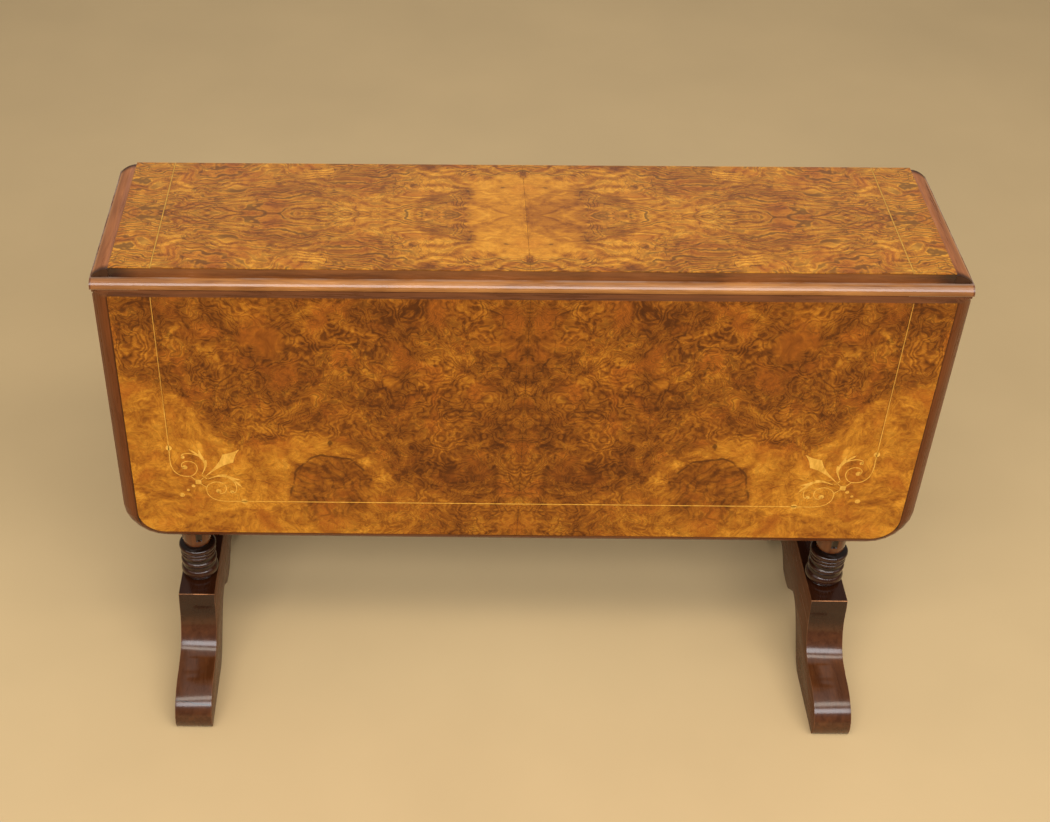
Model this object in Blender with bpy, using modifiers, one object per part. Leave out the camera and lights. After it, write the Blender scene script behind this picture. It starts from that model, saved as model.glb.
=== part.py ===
"""Sutherland table: a narrow veneered top with two deep drop leaves on rule joints.

Each end stands on a shaped trestle foot with a pair of turned columns. Metres, +Z up,
the floor at Z = 0, the length along X and the front at -Y.
"""
import bpy
import bmesh
from math import cos, pi, radians, sin
from mathutils import Matrix

# Overall sizes
TABLE_LENGTH = 1.014
TABLE_HEIGHT = 0.66
PANEL_DEPTH = 0.2328

# Clearances
SEAT_GAP = 0.0003
JOINT_GAP = 0.0005

# Top and leaves
BOARD_THICK = 0.0242
RULE_STEP = 0.0139
END_LIP = 0.0022
EDGE_WIDTH = 0.0202
EDGE_STEP = 0.0027
EDGE_DROP = 0.016
EDGE_CURVE = 2.0
END_DROP = 0.0118
VENEER_THICK = 0.001
LEAF_DROP = 0.391
LEAF_CORNER = 0.053
STRING_WIDTH = 0.0013
STRING_INSET = 0.0484
STRING_RISE = 0.053

# Back-flap hinges
HINGE_INSET = 0.174
HINGE_WIDTH = 0.038
PLATE_THICK = 0.0016
TOP_PLATE = 0.032
LEAF_PLATE = 0.048
KNUCKLE_RADIUS = 0.0032
HINGE_PIN_RADIUS = 0.0015

# Trestle feet
FOOT_INSET = 0.0824
FOOT_THICK = 0.0486
TOE_LENGTH = 0.1182
TOE_NOSE = 0.0154
TOE_HEIGHT = 0.0528
TOE_ROUND = 0.0605
TOE_PAD = 0.006
COVE_REACH = 0.0468
COVE_HEIGHT = 0.066
INSTEP_RISE = 0.0022
BLOCK_HALF = 0.1276
BLOCK_LEAN = 0.0033
BLOCK_HEIGHT = 0.1358
ARCH_LEAD = 0.0132
ARCH_HEIGHT = 0.0671
CROWN_FLAT = 0.0055
PENDANT_HALF = 0.022
PENDANT_HEIGHT = 0.0451
PENDANT_SWELL = 0.0055
PENDANT_SHOULDER = 0.022

# Turned columns
COLUMN_SETBACK = 0.0478
SHAFT_RADIUS = 0.0192
TORUS_RADIUS = 0.025
TORUS_TALL = 0.017
WAIST_RADIUS = 0.0222
COVE_DEPTH = 0.0012
COVE_TALL = 0.005
BEAD_RADIUS = 0.024
BEAD_TALL = 0.0075
FINE_LEAD = 0.0055
FINE_RING = 0.0016
FINE_PITCH = 0.0055
FINE_COUNT = 2
COLLAR_RADIUS = 0.025
COLLAR_TALL = 0.0085
NECK_TALL = 0.006
TENON_RADIUS = 0.011
TENON_LENGTH = 0.022

# Bearers over the columns
BEARER_OVER = 0.0225
BEARER_HEIGHT = 0.037
BEARER_THICK = 0.0486
BEARER_NOSE = 0.015

# Stretcher and the cross rails that carry it
STRETCHER_Z = 0.27
STRETCHER_RADIUS = 0.0138
STRETCHER_SWELL = 0.0033
STRETCHER_COLLAR = 0.0198
STRETCHER_RING = 0.0165
CROSS_THICK = 0.031
CROSS_TALL = 0.046

# Rails and swing brackets
RAIL_Y = 0.066
RAIL_THICK = 0.02
RAIL_HEIGHT = 0.037
FLY_PIVOT_X = 0.1
FLY_REACH = 0.2
FLY_HOLLOW = 0.15
FLY_TIP_HEIGHT = 0.0175
FLY_THICK = 0.017
FLY_HEIGHT = 0.035
FLY_FIXED_LENGTH = 0.077
FLY_KNUCKLE = 0.0085
FLY_PIN_RADIUS = 0.0027

# Derived places
UNDERSIDE = TABLE_HEIGHT - BOARD_THICK
OVOLO = BOARD_THICK - RULE_STEP
LEAF_LENGTH = TABLE_LENGTH - 2 * END_LIP
PANEL_LENGTH = LEAF_LENGTH - 2 * EDGE_WIDTH
AXIS_Y = PANEL_DEPTH / 2
STRING_X = PANEL_LENGTH / 2 - STRING_INSET
HINGE_X = TABLE_LENGTH / 2 - HINGE_INSET
CORE_FACE = VENEER_THICK + SEAT_GAP
FOOT_X = TABLE_LENGTH / 2 - FOOT_INSET
FOOT_HALF = BLOCK_HALF + TOE_LENGTH
COLUMN_Y = BLOCK_HALF - COLUMN_SETBACK
BEARER_TOP = UNDERSIDE - SEAT_GAP
BEARER_BOTTOM = BEARER_TOP - BEARER_HEIGHT
TURN_STEPS = 16
ARC_STEPS = 6


def clear_scene():
    for old in list(bpy.data.objects):
        bpy.data.objects.remove(old)


def collection(name):
    made = bpy.data.collections.new(name)
    bpy.context.scene.collection.children.link(made)
    return made


def material(name, colour, roughness, metallic=0.0):
    made = bpy.data.materials.new(name)
    made.use_nodes = True
    shader = made.node_tree.nodes["Principled BSDF"]
    shader.inputs["Base Color"].default_value = (*colour, 1.0)
    shader.inputs["Roughness"].default_value = roughness
    shader.inputs["Metallic"].default_value = metallic
    return made


def arc(centre, radii, start, end, steps=ARC_STEPS):
    """Points of an elliptic arc, angles in degrees."""
    points = []
    for i in range(steps + 1):
        angle = radians(start + (end - start) * i / steps)
        points.append((centre[0] + radii[0] * cos(angle), centre[1] + radii[1] * sin(angle)))
    return points


def helper(mesh):
    made = bpy.data.objects.new("helper", mesh)
    SHOP.objects.link(made)
    made.hide_render = True
    made.display_type = "WIRE"
    return made


def baked(made):
    """The evaluated mesh of a helper object, seams welded; the helper is removed."""
    bpy.context.view_layer.update()
    graph = bpy.context.evaluated_depsgraph_get()
    mesh = bpy.data.meshes.new_from_object(made.evaluated_get(graph))
    bm = bmesh.new()
    bm.from_mesh(mesh)
    bmesh.ops.remove_doubles(bm, verts=bm.verts, dist=0.00001)
    bmesh.ops.recalc_face_normals(bm, faces=bm.faces)
    bm.to_mesh(mesh)
    bm.free()
    bpy.data.objects.remove(made)
    return mesh


def box(x_span, y_span, z_span):
    """A block between two values on each axis."""
    spans = (x_span, y_span, z_span)
    middle = [(low + high) / 2 for low, high in spans]
    size = [high - low for low, high in spans]
    bm = bmesh.new()
    bmesh.ops.create_cube(bm, size=1.0, matrix=Matrix.Translation(middle) @ Matrix.Diagonal((*size, 1)))
    mesh = bpy.data.meshes.new("box")
    bm.to_mesh(mesh)
    bm.free()
    return mesh


def rod(radius, low, high, axis="X", centre=(0, 0), sides=24):
    """A cylinder along X or Z between two values, centred on the other two axes."""
    bm = bmesh.new()
    turn = Matrix.Rotation(pi / 2, 4, "Y") if axis == "X" else Matrix.Identity(4)
    middle = (low + high) / 2
    place = (middle, *centre) if axis == "X" else (*centre, middle)
    bmesh.ops.create_cone(bm, cap_ends=True, segments=sides, radius1=radius, radius2=radius,
                          depth=high - low, matrix=Matrix.Translation(place) @ turn)
    mesh = bpy.data.meshes.new("rod")
    bm.to_mesh(mesh)
    bm.free()
    return mesh


def plate(points, thickness, plane):
    """A flat outline extruded to a thickness about its plane (XZ, YZ or XY)."""
    curve = bpy.data.curves.new("outline", "CURVE")
    curve.dimensions = "2D"
    curve.fill_mode = "BOTH"
    curve.extrude = thickness / 2
    spline = curve.splines.new("POLY")
    spline.points.add(len(points) - 1)
    for point, (a, b) in zip(spline.points, points):
        point.co = (a, b, 0, 1)
    spline.use_cyclic_u = True
    mesh = baked(helper(curve))
    turns = {"XZ": Matrix.Rotation(pi / 2, 4, "X"),
             "YZ": Matrix.Rotation(pi / 2, 4, "Z") @ Matrix.Rotation(pi / 2, 4, "X"),
             "XY": Matrix.Identity(4)}
    mesh.transform(turns[plane])
    return mesh


def turned(profile, steps=TURN_STEPS):
    """A (radius, z) profile, listed from top to bottom, turned about Z."""
    mesh = bpy.data.meshes.new("profile")
    mesh.from_pydata([(radius, 0, z) for radius, z in profile],
                     [(i, i + 1) for i in range(len(profile) - 1)], [])
    made = helper(mesh)
    screw = made.modifiers.new("Turn", "SCREW")
    screw.steps = steps
    screw.render_steps = steps
    screw.use_merge_vertices = True
    screw.merge_threshold = 0.00001
    screw.use_normal_calculate = True
    return baked(made)


def moved(mesh, x=0.0, y=0.0, z=0.0):
    mesh.transform(Matrix.Translation((x, y, z)))
    return mesh


def combined(mesh, others, operation):
    """Join the other meshes to a mesh, or cut them out of it, one after another."""
    for other in others:
        made = helper(mesh)
        tool = helper(other)
        change = made.modifiers.new("Change", "BOOLEAN")
        change.operation = operation
        change.solver = "EXACT"
        change.object = tool
        mesh = baked(made)
        bpy.data.objects.remove(tool)
    return mesh


def frame(name, location, turn=0.0):
    made = bpy.data.objects.new(name, None)
    PARTS.objects.link(made)
    made.location = location
    made.rotation_euler = (0, 0, turn)
    return made


def piece(name, mesh, finish, parent, smooth=None):
    """One named solid under its frame; smooth is the angle that still counts as round."""
    made = bpy.data.objects.new(name, mesh)
    if not mesh.materials:
        mesh.materials.append(finish)
    if smooth:
        mesh.shade_smooth()
        mesh.set_sharp_from_angle(angle=radians(smooth))
    PARTS.objects.link(made)
    made.parent = parent
    return made


def hinge_places():
    return (-HINGE_X, HINGE_X)


def top_board():
    """The core of the top: rule-joint step and quarter-round on both long edges."""
    step_foot = UNDERSIDE + OVOLO
    outline = arc((-AXIS_Y, UNDERSIDE), (OVOLO, OVOLO), 180, 90)
    outline += arc((AXIS_Y, UNDERSIDE), (OVOLO, OVOLO), 90, 0)
    lower = plate(outline, TABLE_LENGTH, "YZ")
    panel = (-PANEL_LENGTH / 2, PANEL_LENGTH / 2)
    upper = box(panel, (-AXIS_Y, AXIS_Y), (step_foot - OVOLO / 2, TABLE_HEIGHT - CORE_FACE))
    board = combined(lower, [upper], "UNION")
    cuts = []
    for side in (-1, 1):
        for x in hinge_places():
            half = HINGE_WIDTH / 2 + SEAT_GAP
            x_span = (x - half, x + half)
            flap = sorted((side * AXIS_Y, side * (AXIS_Y - TOP_PLATE - SEAT_GAP)))
            low = UNDERSIDE - OVOLO
            cuts.append(box(x_span, flap, (low, UNDERSIDE + PLATE_THICK + SEAT_GAP)))
            room = KNUCKLE_RADIUS + 2 * SEAT_GAP
            groove = sorted((side * (AXIS_Y - room), side * (AXIS_Y + room)))
            cuts.append(box(x_span, groove, (low, UNDERSIDE + room)))
    return combined(board, cuts, "DIFFERENCE")


def thumb(q, drop):
    """Depth of the thumb moulding below the face, q = 0 at the veneer, 1 at the rim."""
    return EDGE_STEP + (drop - EDGE_STEP) * q ** EDGE_CURVE


def end_moulding(side):
    """The thumb-moulded piece across one end of the top, on the board's ledge."""
    inner = PANEL_LENGTH / 2 + SEAT_GAP
    seat = UNDERSIDE + OVOLO + SEAT_GAP
    outline = [(side * inner, seat)]
    for i in range(ARC_STEPS + 1):
        q = i / ARC_STEPS
        x = inner + (LEAF_LENGTH / 2 - inner) * q
        outline.append((side * x, TABLE_HEIGHT - thumb(q, END_DROP)))
    outline.append((side * LEAF_LENGTH / 2, seat))
    return plate(outline, PANEL_DEPTH, "XZ")


def top_veneers(finish_burr, finish_string, parent):
    z_span = (TABLE_HEIGHT - VENEER_THICK, TABLE_HEIGHT)
    seam = SEAT_GAP / 2
    sheet_x = STRING_X - STRING_WIDTH / 2 - SEAT_GAP
    band_x = STRING_X + STRING_WIDTH / 2 + SEAT_GAP
    depth = (-AXIS_Y, AXIS_Y)
    for side, hand in ((-1, "left"), (1, "right")):
        for back, row in ((-1, "front"), (1, "rear")):
            x_span = sorted((side * seam, side * sheet_x))
            y_span = sorted((back * seam, back * AXIS_Y))
            piece(f"top_veneer_{row}_{hand}", box(x_span, y_span, z_span), finish_burr, parent)
        string_span = (side * STRING_X - STRING_WIDTH / 2, side * STRING_X + STRING_WIDTH / 2)
        piece(f"top_string_{hand}", box(string_span, depth, z_span), finish_string, parent)
        band_span = sorted((side * band_x, side * PANEL_LENGTH / 2))
        piece(f"top_band_{hand}", box(band_span, depth, z_span), finish_burr, parent)


def leaf_ring(inset):
    """Outline of a hanging leaf, seen from the front, drawn in by an inset on three sides."""
    half = LEAF_LENGTH / 2 - inset
    low = -LEAF_DROP + inset
    radius = LEAF_CORNER - inset
    ring = [(-half, -JOINT_GAP)]
    ring += arc((-half + radius, low + radius), (radius, radius), 180, 270)
    ring += arc((half - radius, low + radius), (radius, radius), 270, 360)
    ring.append((half, -JOINT_GAP))
    return ring


def leaf_board():
    """The leaf about its pin: flat inside, thumb-moulded rim outside, hollow for the joint."""
    levels = [(0.0, 0.0), (0.0, BOARD_THICK - EDGE_DROP)]
    for i in range(ARC_STEPS - 1, -1, -1):
        q = i / ARC_STEPS
        levels.append((EDGE_WIDTH * (1 - q), BOARD_THICK - thumb(q, EDGE_DROP)))
    levels.append((EDGE_WIDTH, BOARD_THICK - CORE_FACE))
    bm = bmesh.new()
    rings = []
    for inset, out in levels:
        rings.append([bm.verts.new((x, -out, z)) for x, z in leaf_ring(inset)])
    count = len(rings[0])
    for near, far in zip(rings, rings[1:]):
        for i in range(count):
            j = (i + 1) % count
            bm.faces.new((near[i], near[j], far[j], far[i]))
    bm.faces.new(rings[0])
    bm.faces.new(rings[-1])
    bmesh.ops.recalc_face_normals(bm, faces=bm.faces)
    mesh = bpy.data.meshes.new("leaf")
    bm.to_mesh(mesh)
    bm.free()
    hollow = rod(OVOLO + JOINT_GAP, -TABLE_LENGTH, TABLE_LENGTH, sides=48)
    return combined(mesh, [hollow], "DIFFERENCE")


def side_band():
    """The veneer strip outside the right-hand string, round at its lower corner."""
    inner = STRING_X + STRING_WIDTH / 2 + SEAT_GAP
    outer = PANEL_LENGTH / 2
    low = -LEAF_DROP + EDGE_WIDTH
    radius = LEAF_CORNER - EDGE_WIDTH
    outline = [(inner, -JOINT_GAP), (inner, low)]
    outline += arc((outer - radius, low + radius), (radius, radius), 270, 360)
    outline.append((outer, -JOINT_GAP))
    return plate(outline, VENEER_THICK, "XZ")


def leaf_veneers(end, turn, finish_burr, finish_string, parent):
    """Book-matched sheets, bands and strings of a leaf; turn is -1 on the rear leaf."""
    middle = -BOARD_THICK + VENEER_THICK / 2
    y_span = (-BOARD_THICK, -BOARD_THICK + VENEER_THICK)
    string_z = -LEAF_DROP + EDGE_WIDTH + STRING_RISE
    above = string_z + STRING_WIDTH / 2 + SEAT_GAP
    below = string_z - STRING_WIDTH / 2 - SEAT_GAP
    sheet_x = STRING_X - STRING_WIDTH / 2 - SEAT_GAP
    band_x = STRING_X + STRING_WIDTH / 2
    for side in (-1, 1):
        hand = "left" if side * turn < 0 else "right"
        sheet_span = sorted((side * SEAT_GAP / 2, side * sheet_x))
        sheet = box(sheet_span, y_span, (above, -JOINT_GAP))
        piece(f"{end}_leaf_veneer_{hand}", sheet, finish_burr, parent)
        string_span = (side * STRING_X - STRING_WIDTH / 2, side * STRING_X + STRING_WIDTH / 2)
        string = box(string_span, y_span, (above, -JOINT_GAP))
        piece(f"{end}_leaf_string_{hand}", string, finish_string, parent)
        band = moved(side_band(), y=middle)
        if side < 0:
            band.transform(Matrix.Rotation(pi, 4, "Z"))
            moved(band, y=2 * middle)
        piece(f"{end}_leaf_band_{hand}", band, finish_burr, parent)
    line = box((-band_x, band_x), y_span, (string_z - STRING_WIDTH / 2, string_z + STRING_WIDTH / 2))
    piece(f"{end}_leaf_string_bottom", line, finish_string, parent)
    foot_band = box((-band_x, band_x), y_span, (-LEAF_DROP + EDGE_WIDTH, below))
    piece(f"{end}_leaf_band_bottom", foot_band, finish_burr, parent)


def knuckle_spans():
    """The three knuckles along the pin: outer, middle, outer."""
    third = HINGE_WIDTH / 3
    edge = HINGE_WIDTH / 2
    gap = SEAT_GAP / 2
    return ((-edge, -third / 2 - gap), (-third / 2 + gap, third / 2 - gap), (third / 2 + gap, edge))


def hinge_plate(reach, spans, hang):
    """A flap with its knuckles about the X axis: level under the top, or hanging on a leaf."""
    clear = KNUCKLE_RADIUS + 2 * SEAT_GAP
    edge = HINGE_WIDTH / 2

    def flap(x_span, near, far):
        if hang:
            return box(x_span, (SEAT_GAP, SEAT_GAP + PLATE_THICK), (-far, -near))
        return box(x_span, (near, far), (0, PLATE_THICK))

    mesh = flap((-edge, edge), clear, reach)
    arms = [flap(span, 0, clear + PLATE_THICK) for span in spans]
    barrels = [rod(KNUCKLE_RADIUS, *span, sides=16) for span in spans]
    mesh = combined(mesh, arms + barrels, "UNION")
    bore = rod(HINGE_PIN_RADIUS + SEAT_GAP, -HINGE_WIDTH, HINGE_WIDTH, sides=12)
    return combined(mesh, [bore], "DIFFERENCE")


def hinges(end, turn, brass, leaf_frame, top_frame):
    spans = knuckle_spans()
    for x in hinge_places():
        hand = "left" if x * turn < 0 else "right"
        top_plate = hinge_plate(TOP_PLATE, [spans[1]], hang=False)
        piece(f"{end}_hinge_{hand}_top_plate", moved(top_plate, x), brass, top_frame, smooth=40)
        leaf_plate = hinge_plate(LEAF_PLATE, [spans[0], spans[2]], hang=True)
        piece(f"{end}_hinge_{hand}_leaf_plate", moved(leaf_plate, x), brass, leaf_frame, smooth=40)
        pin = rod(HINGE_PIN_RADIUS, -HINGE_WIDTH / 2, HINGE_WIDTH / 2, sides=12)
        piece(f"{end}_hinge_{hand}_pin", moved(pin, x), brass, top_frame, smooth=40)


def foot_half():
    """Half of the trestle foot's outline as (distance behind the toe, height) points."""
    half = arc((TOE_PAD, TOE_NOSE), (TOE_PAD, TOE_NOSE), 270, 180)
    half += arc((TOE_ROUND, TOE_NOSE), (TOE_ROUND, TOE_HEIGHT - TOE_NOSE), 180, 90)[1:]
    cove_top = TOE_HEIGHT + INSTEP_RISE + COVE_HEIGHT
    neck = TOE_LENGTH - BLOCK_LEAN
    half += arc((neck - COVE_REACH, cove_top), (COVE_REACH, COVE_HEIGHT), 270, 360)
    half.append((TOE_LENGTH, BLOCK_HEIGHT))
    return half


def arch_half():
    """Underside from the middle drop over the crown of the arch down to the toe's pad."""
    drop_edge = FOOT_HALF - PENDANT_HALF - PENDANT_SHOULDER
    crown = drop_edge - CROWN_FLAT
    pad_end = TOE_LENGTH - ARCH_LEAD
    points = arc((FOOT_HALF, PENDANT_HEIGHT + PENDANT_SWELL), (PENDANT_HALF, PENDANT_SWELL), 270, 180)
    points.append((drop_edge, ARCH_HEIGHT))
    for i in range(ARC_STEPS + 1):
        q = 1 - i / ARC_STEPS
        points.append((pad_end + (crown - pad_end) * q, ARCH_HEIGHT * (1 - cos(pi * q)) / 2))
    return points


def column_sockets(low, high):
    """Cutters for the round tenons of a pair of columns, about the end frame's middle."""
    cutters = []
    for side in (-1, 1):
        cutters.append(rod(TENON_RADIUS + SEAT_GAP, low, high, "Z", (0, side * COLUMN_Y), sides=16))
    return cutters


def trestle_foot():
    front = [(s - FOOT_HALF, z) for s, z in foot_half()]
    back = [(-y, z) for y, z in reversed(front)]
    under_front = [(s - FOOT_HALF, z) for s, z in arch_half()]
    under_back = [(-y, z) for y, z in reversed(under_front)][:-1]
    foot = plate(front + back + under_back + under_front, FOOT_THICK, "YZ")
    low = BLOCK_HEIGHT - TENON_LENGTH - SEAT_GAP
    return combined(foot, column_sockets(low, BLOCK_HEIGHT * 2), "DIFFERENCE")


def column_rings():
    """The group of mouldings at one end of a column, (radius, distance from that end)."""
    rings = [(TORUS_RADIUS - TORUS_TALL / 4, 0.0)]
    rings += arc((TORUS_RADIUS - TORUS_TALL / 2, TORUS_TALL / 2), (TORUS_TALL / 2,) * 2, -60, 50, 4)
    z = TORUS_TALL + COVE_TALL
    rings += [(WAIST_RADIUS, TORUS_TALL), (WAIST_RADIUS, z)]
    rings += arc((BEAD_RADIUS - BEAD_TALL / 2, z + BEAD_TALL / 2), (BEAD_TALL / 2,) * 2, -60, 60, 3)
    z += BEAD_TALL
    rings.append((WAIST_RADIUS, z))
    z += FINE_LEAD
    for i in range(FINE_COUNT):
        rings.append((WAIST_RADIUS, z + FINE_PITCH * i))
        rings.append((WAIST_RADIUS + FINE_RING, z + FINE_PITCH * (i + 0.5)))
    z += FINE_PITCH * FINE_COUNT
    rings.append((WAIST_RADIUS, z))
    rings += arc((COLLAR_RADIUS - COLLAR_TALL / 2, z + COLLAR_TALL / 2), (COLLAR_TALL / 2,) * 2, -60, 70, 3)
    z += COLLAR_TALL
    rings += [(SHAFT_RADIUS - COVE_DEPTH, z + NECK_TALL / 3), (SHAFT_RADIUS, z + NECK_TALL)]
    return rings


def column_profile():
    """Turned column between foot and bearer, tenons included, from top to bottom."""
    low = BLOCK_HEIGHT + SEAT_GAP
    high = BEARER_BOTTOM - SEAT_GAP
    lower = [(radius, low + z) for radius, z in column_rings()]
    upper = [(radius, high - z) for radius, z in column_rings()]
    top = [(0, high + TENON_LENGTH), (TENON_RADIUS, high + TENON_LENGTH), (TENON_RADIUS, high)]
    bottom = [(TENON_RADIUS, low), (TENON_RADIUS, low - TENON_LENGTH), (0, low - TENON_LENGTH)]
    return top + upper + lower[::-1] + bottom


def bearer():
    """Cross piece over a pair of columns, its under corners hollowed, with two sockets."""
    half = COLUMN_Y + BEARER_OVER
    nose = BEARER_HEIGHT - BEARER_NOSE
    hollow = [(-half + x, z) for x, z in arc((0, BEARER_BOTTOM), (nose, nose), 90, 0)]
    outline = [(-half, BEARER_TOP)] + hollow + [(-y, z) for y, z in reversed(hollow)]
    outline.append((half, BEARER_TOP))
    mesh = plate(outline, BEARER_THICK, "YZ")
    high = BEARER_BOTTOM + TENON_LENGTH + SEAT_GAP
    return combined(mesh, column_sockets(BEARER_BOTTOM / 2, high), "DIFFERENCE")


def cross_rail():
    """Rail between the two shafts of an end, bored on its inner side for the stretcher."""
    half = COLUMN_Y - SHAFT_RADIUS - SEAT_GAP
    tall = (STRETCHER_Z - CROSS_TALL / 2, STRETCHER_Z + CROSS_TALL / 2)
    mesh = box((-CROSS_THICK / 2, CROSS_THICK / 2), (-half, half), tall)
    bore = rod(TENON_RADIUS + SEAT_GAP, 0, CROSS_THICK, centre=(0, STRETCHER_Z), sides=16)
    return combined(mesh, [bore], "DIFFERENCE")


def stretcher():
    """Turned rail along X between the cross rails: a collar at each end, a ring group midway."""
    half = FOOT_X - CROSS_THICK / 2 - SEAT_GAP
    tenon = half + CROSS_THICK / 2 - SEAT_GAP
    ring = STRETCHER_RING
    bulge = STRETCHER_COLLAR - ring / 2
    ends = [(0, tenon), (TENON_RADIUS, tenon), (TENON_RADIUS, half)]
    ends += arc((bulge, half - ring / 2), (ring / 2, ring / 2), 80, -80, 4)
    ends += [(STRETCHER_RADIUS - STRETCHER_SWELL, half - 2 * ring), (STRETCHER_RADIUS, half - 3 * ring)]
    ends += [(STRETCHER_RADIUS + STRETCHER_SWELL, half / 2), (STRETCHER_RADIUS, 3 * ring)]
    ends += arc((bulge, 1.6 * ring), (ring / 2, ring / 2), 80, -80, 4)
    ends += arc((STRETCHER_RADIUS, 0.0), (ring / 2, ring), 70, 0, 4)
    mesh = turned(ends + [(radius, -z) for radius, z in reversed(ends[:-1])])
    mesh.transform(Matrix.Rotation(pi / 2, 4, "Y"))
    return moved(mesh, z=STRETCHER_Z)


def rail():
    """Long rail under the top between the two bearers."""
    half = FOOT_X - BEARER_THICK / 2 - SEAT_GAP
    y_span = (-RAIL_THICK / 2, RAIL_THICK / 2)
    return box((-half, half), y_span, (BEARER_TOP - RAIL_HEIGHT, BEARER_TOP))


def fly_levels():
    """Three tiers of the wooden knuckle below the top: upper, middle, lower."""
    high = -JOINT_GAP
    tier = FLY_HEIGHT / 3
    return [(high - (i + 1) * tier, high - i * tier) for i in range(3)]


def fly_half(body, own, other):
    """A knuckle half: its board and its own tiers, cut clear of the other half's tiers."""
    mesh = combined(body, [rod(FLY_KNUCKLE, *fly_levels()[i], "Z") for i in own], "UNION")
    clear = FLY_KNUCKLE + JOINT_GAP
    gap = SEAT_GAP / 2
    cuts = []
    for i in other:
        low, high = fly_levels()[i]
        cuts.append(rod(clear, low - gap, high + gap, "Z"))
    cuts.append(rod(FLY_PIN_RADIUS + SEAT_GAP, -FLY_HEIGHT * 2, FLY_HEIGHT, "Z", sides=12))
    return combined(mesh, cuts, "DIFFERENCE")


def fly_fixed():
    """The fixed half, on the outer face of the rail."""
    y_span = (-FLY_THICK / 2, FLY_THICK / 2)
    body = box((0, FLY_FIXED_LENGTH), y_span, (-JOINT_GAP - FLY_HEIGHT, -JOINT_GAP))
    return fly_half(body, own=(0, 2), other=(1,))


def fly_arm():
    """The swinging half: a bracket with a hollow under edge that thins towards its tip."""
    high = -JOINT_GAP
    low = high - FLY_HEIGHT
    outline = [(0, high), (-FLY_REACH, high), (-FLY_REACH, high - FLY_TIP_HEIGHT)]
    drop = FLY_HEIGHT - FLY_TIP_HEIGHT
    outline += arc((-FLY_REACH, low), (FLY_HOLLOW, drop), 90, 0)[1:]
    outline.append((0, low))
    return fly_half(plate(outline, FLY_THICK, "XZ"), own=(1,), other=(0, 2))


def end_frame(hand, side, wood, parent):
    """Foot, two columns, bearer and cross rail of one end."""
    place = frame(f"{hand}_end", (side * FOOT_X, 0, 0))
    place.parent = parent
    piece(f"{hand}_foot", trestle_foot(), wood, place, smooth=30)
    piece(f"{hand}_bearer", bearer(), wood, place, smooth=30)
    cross = cross_rail()
    if side > 0:
        cross.transform(Matrix.Rotation(pi, 4, "Z"))
    piece(f"{hand}_cross_rail", cross, wood, place)
    for back, row in ((-1, "front"), (1, "rear")):
        column = moved(turned(column_profile()), y=back * COLUMN_Y)
        piece(f"{hand}_{row}_column", column, wood, place, smooth=40)


def leaf(end, turn, finishes, parent):
    """One leaf on its pin line with its veneers, hinges, rail and swing bracket."""
    spin = 0.0 if turn > 0 else pi
    on_axis = (0, -turn * AXIS_Y, UNDERSIDE)
    leaf_frame = frame(f"{end}_leaf_axis", on_axis, spin)
    hinge_frame = frame(f"{end}_hinge_line", on_axis, spin)
    rail_frame = frame(f"{end}_rail_line", (0, -turn * RAIL_Y, 0), spin)
    fly_y = RAIL_Y + RAIL_THICK / 2 + SEAT_GAP + FLY_THICK / 2
    pivot = (turn * FLY_PIVOT_X, -turn * fly_y, UNDERSIDE)
    fly_axis = frame(f"{end}_fly_axis", pivot, spin)
    for made in (leaf_frame, hinge_frame, rail_frame, fly_axis):
        made.parent = parent
    piece(f"{end}_leaf", leaf_board(), finishes["solid"], leaf_frame, smooth=30)
    leaf_veneers(end, turn, finishes["burr"], finishes["string"], leaf_frame)
    hinges(end, turn, finishes["brass"], leaf_frame, hinge_frame)
    piece(f"{end}_rail", rail(), finishes["base"], rail_frame)
    piece(f"{end}_fly_block", fly_fixed(), finishes["base"], fly_axis, smooth=30)
    piece(f"{end}_fly_bracket", fly_arm(), finishes["base"], fly_axis, smooth=30)
    pin = rod(FLY_PIN_RADIUS, -JOINT_GAP - FLY_HEIGHT, -JOINT_GAP, "Z", sides=12)
    piece(f"{end}_fly_pin", pin, finishes["brass"], fly_axis, smooth=40)


def build():
    finishes = {
        "burr": material("burr_walnut", (0.45, 0.18, 0.04), 0.25),
        "solid": material("moulded_walnut", (0.22, 0.07, 0.02), 0.3),
        "string": material("boxwood", (0.72, 0.55, 0.28), 0.35),
        "base": material("stained_walnut", (0.07, 0.02, 0.012), 0.3),
        "brass": material("aged_brass", (0.5, 0.36, 0.14), 0.4, 1.0),
    }
    table = frame("table", (0, 0, 0))
    piece("top_board", top_board(), finishes["solid"], table, smooth=30)
    for side, hand in ((-1, "left"), (1, "right")):
        piece(f"top_end_moulding_{hand}", end_moulding(side), finishes["solid"], table, smooth=30)
        end_frame(hand, side, finishes["base"], table)
    top_veneers(finishes["burr"], finishes["string"], table)
    piece("stretcher", stretcher(), finishes["base"], table, smooth=40)
    leaf("front", 1, finishes, table)
    leaf("rear", -1, finishes, table)
    bpy.context.view_layer.update()


clear_scene()
PARTS = collection("sutherland_table")
SHOP = collection("cutters")
build()
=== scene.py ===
"""Looks of the Sutherland table: burr veneers, inlay, turned and shaped base, floor, light and camera."""
from math import cos, hypot, pi, radians, sin

import bmesh
import bpy
from mathutils import Matrix, Vector


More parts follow.
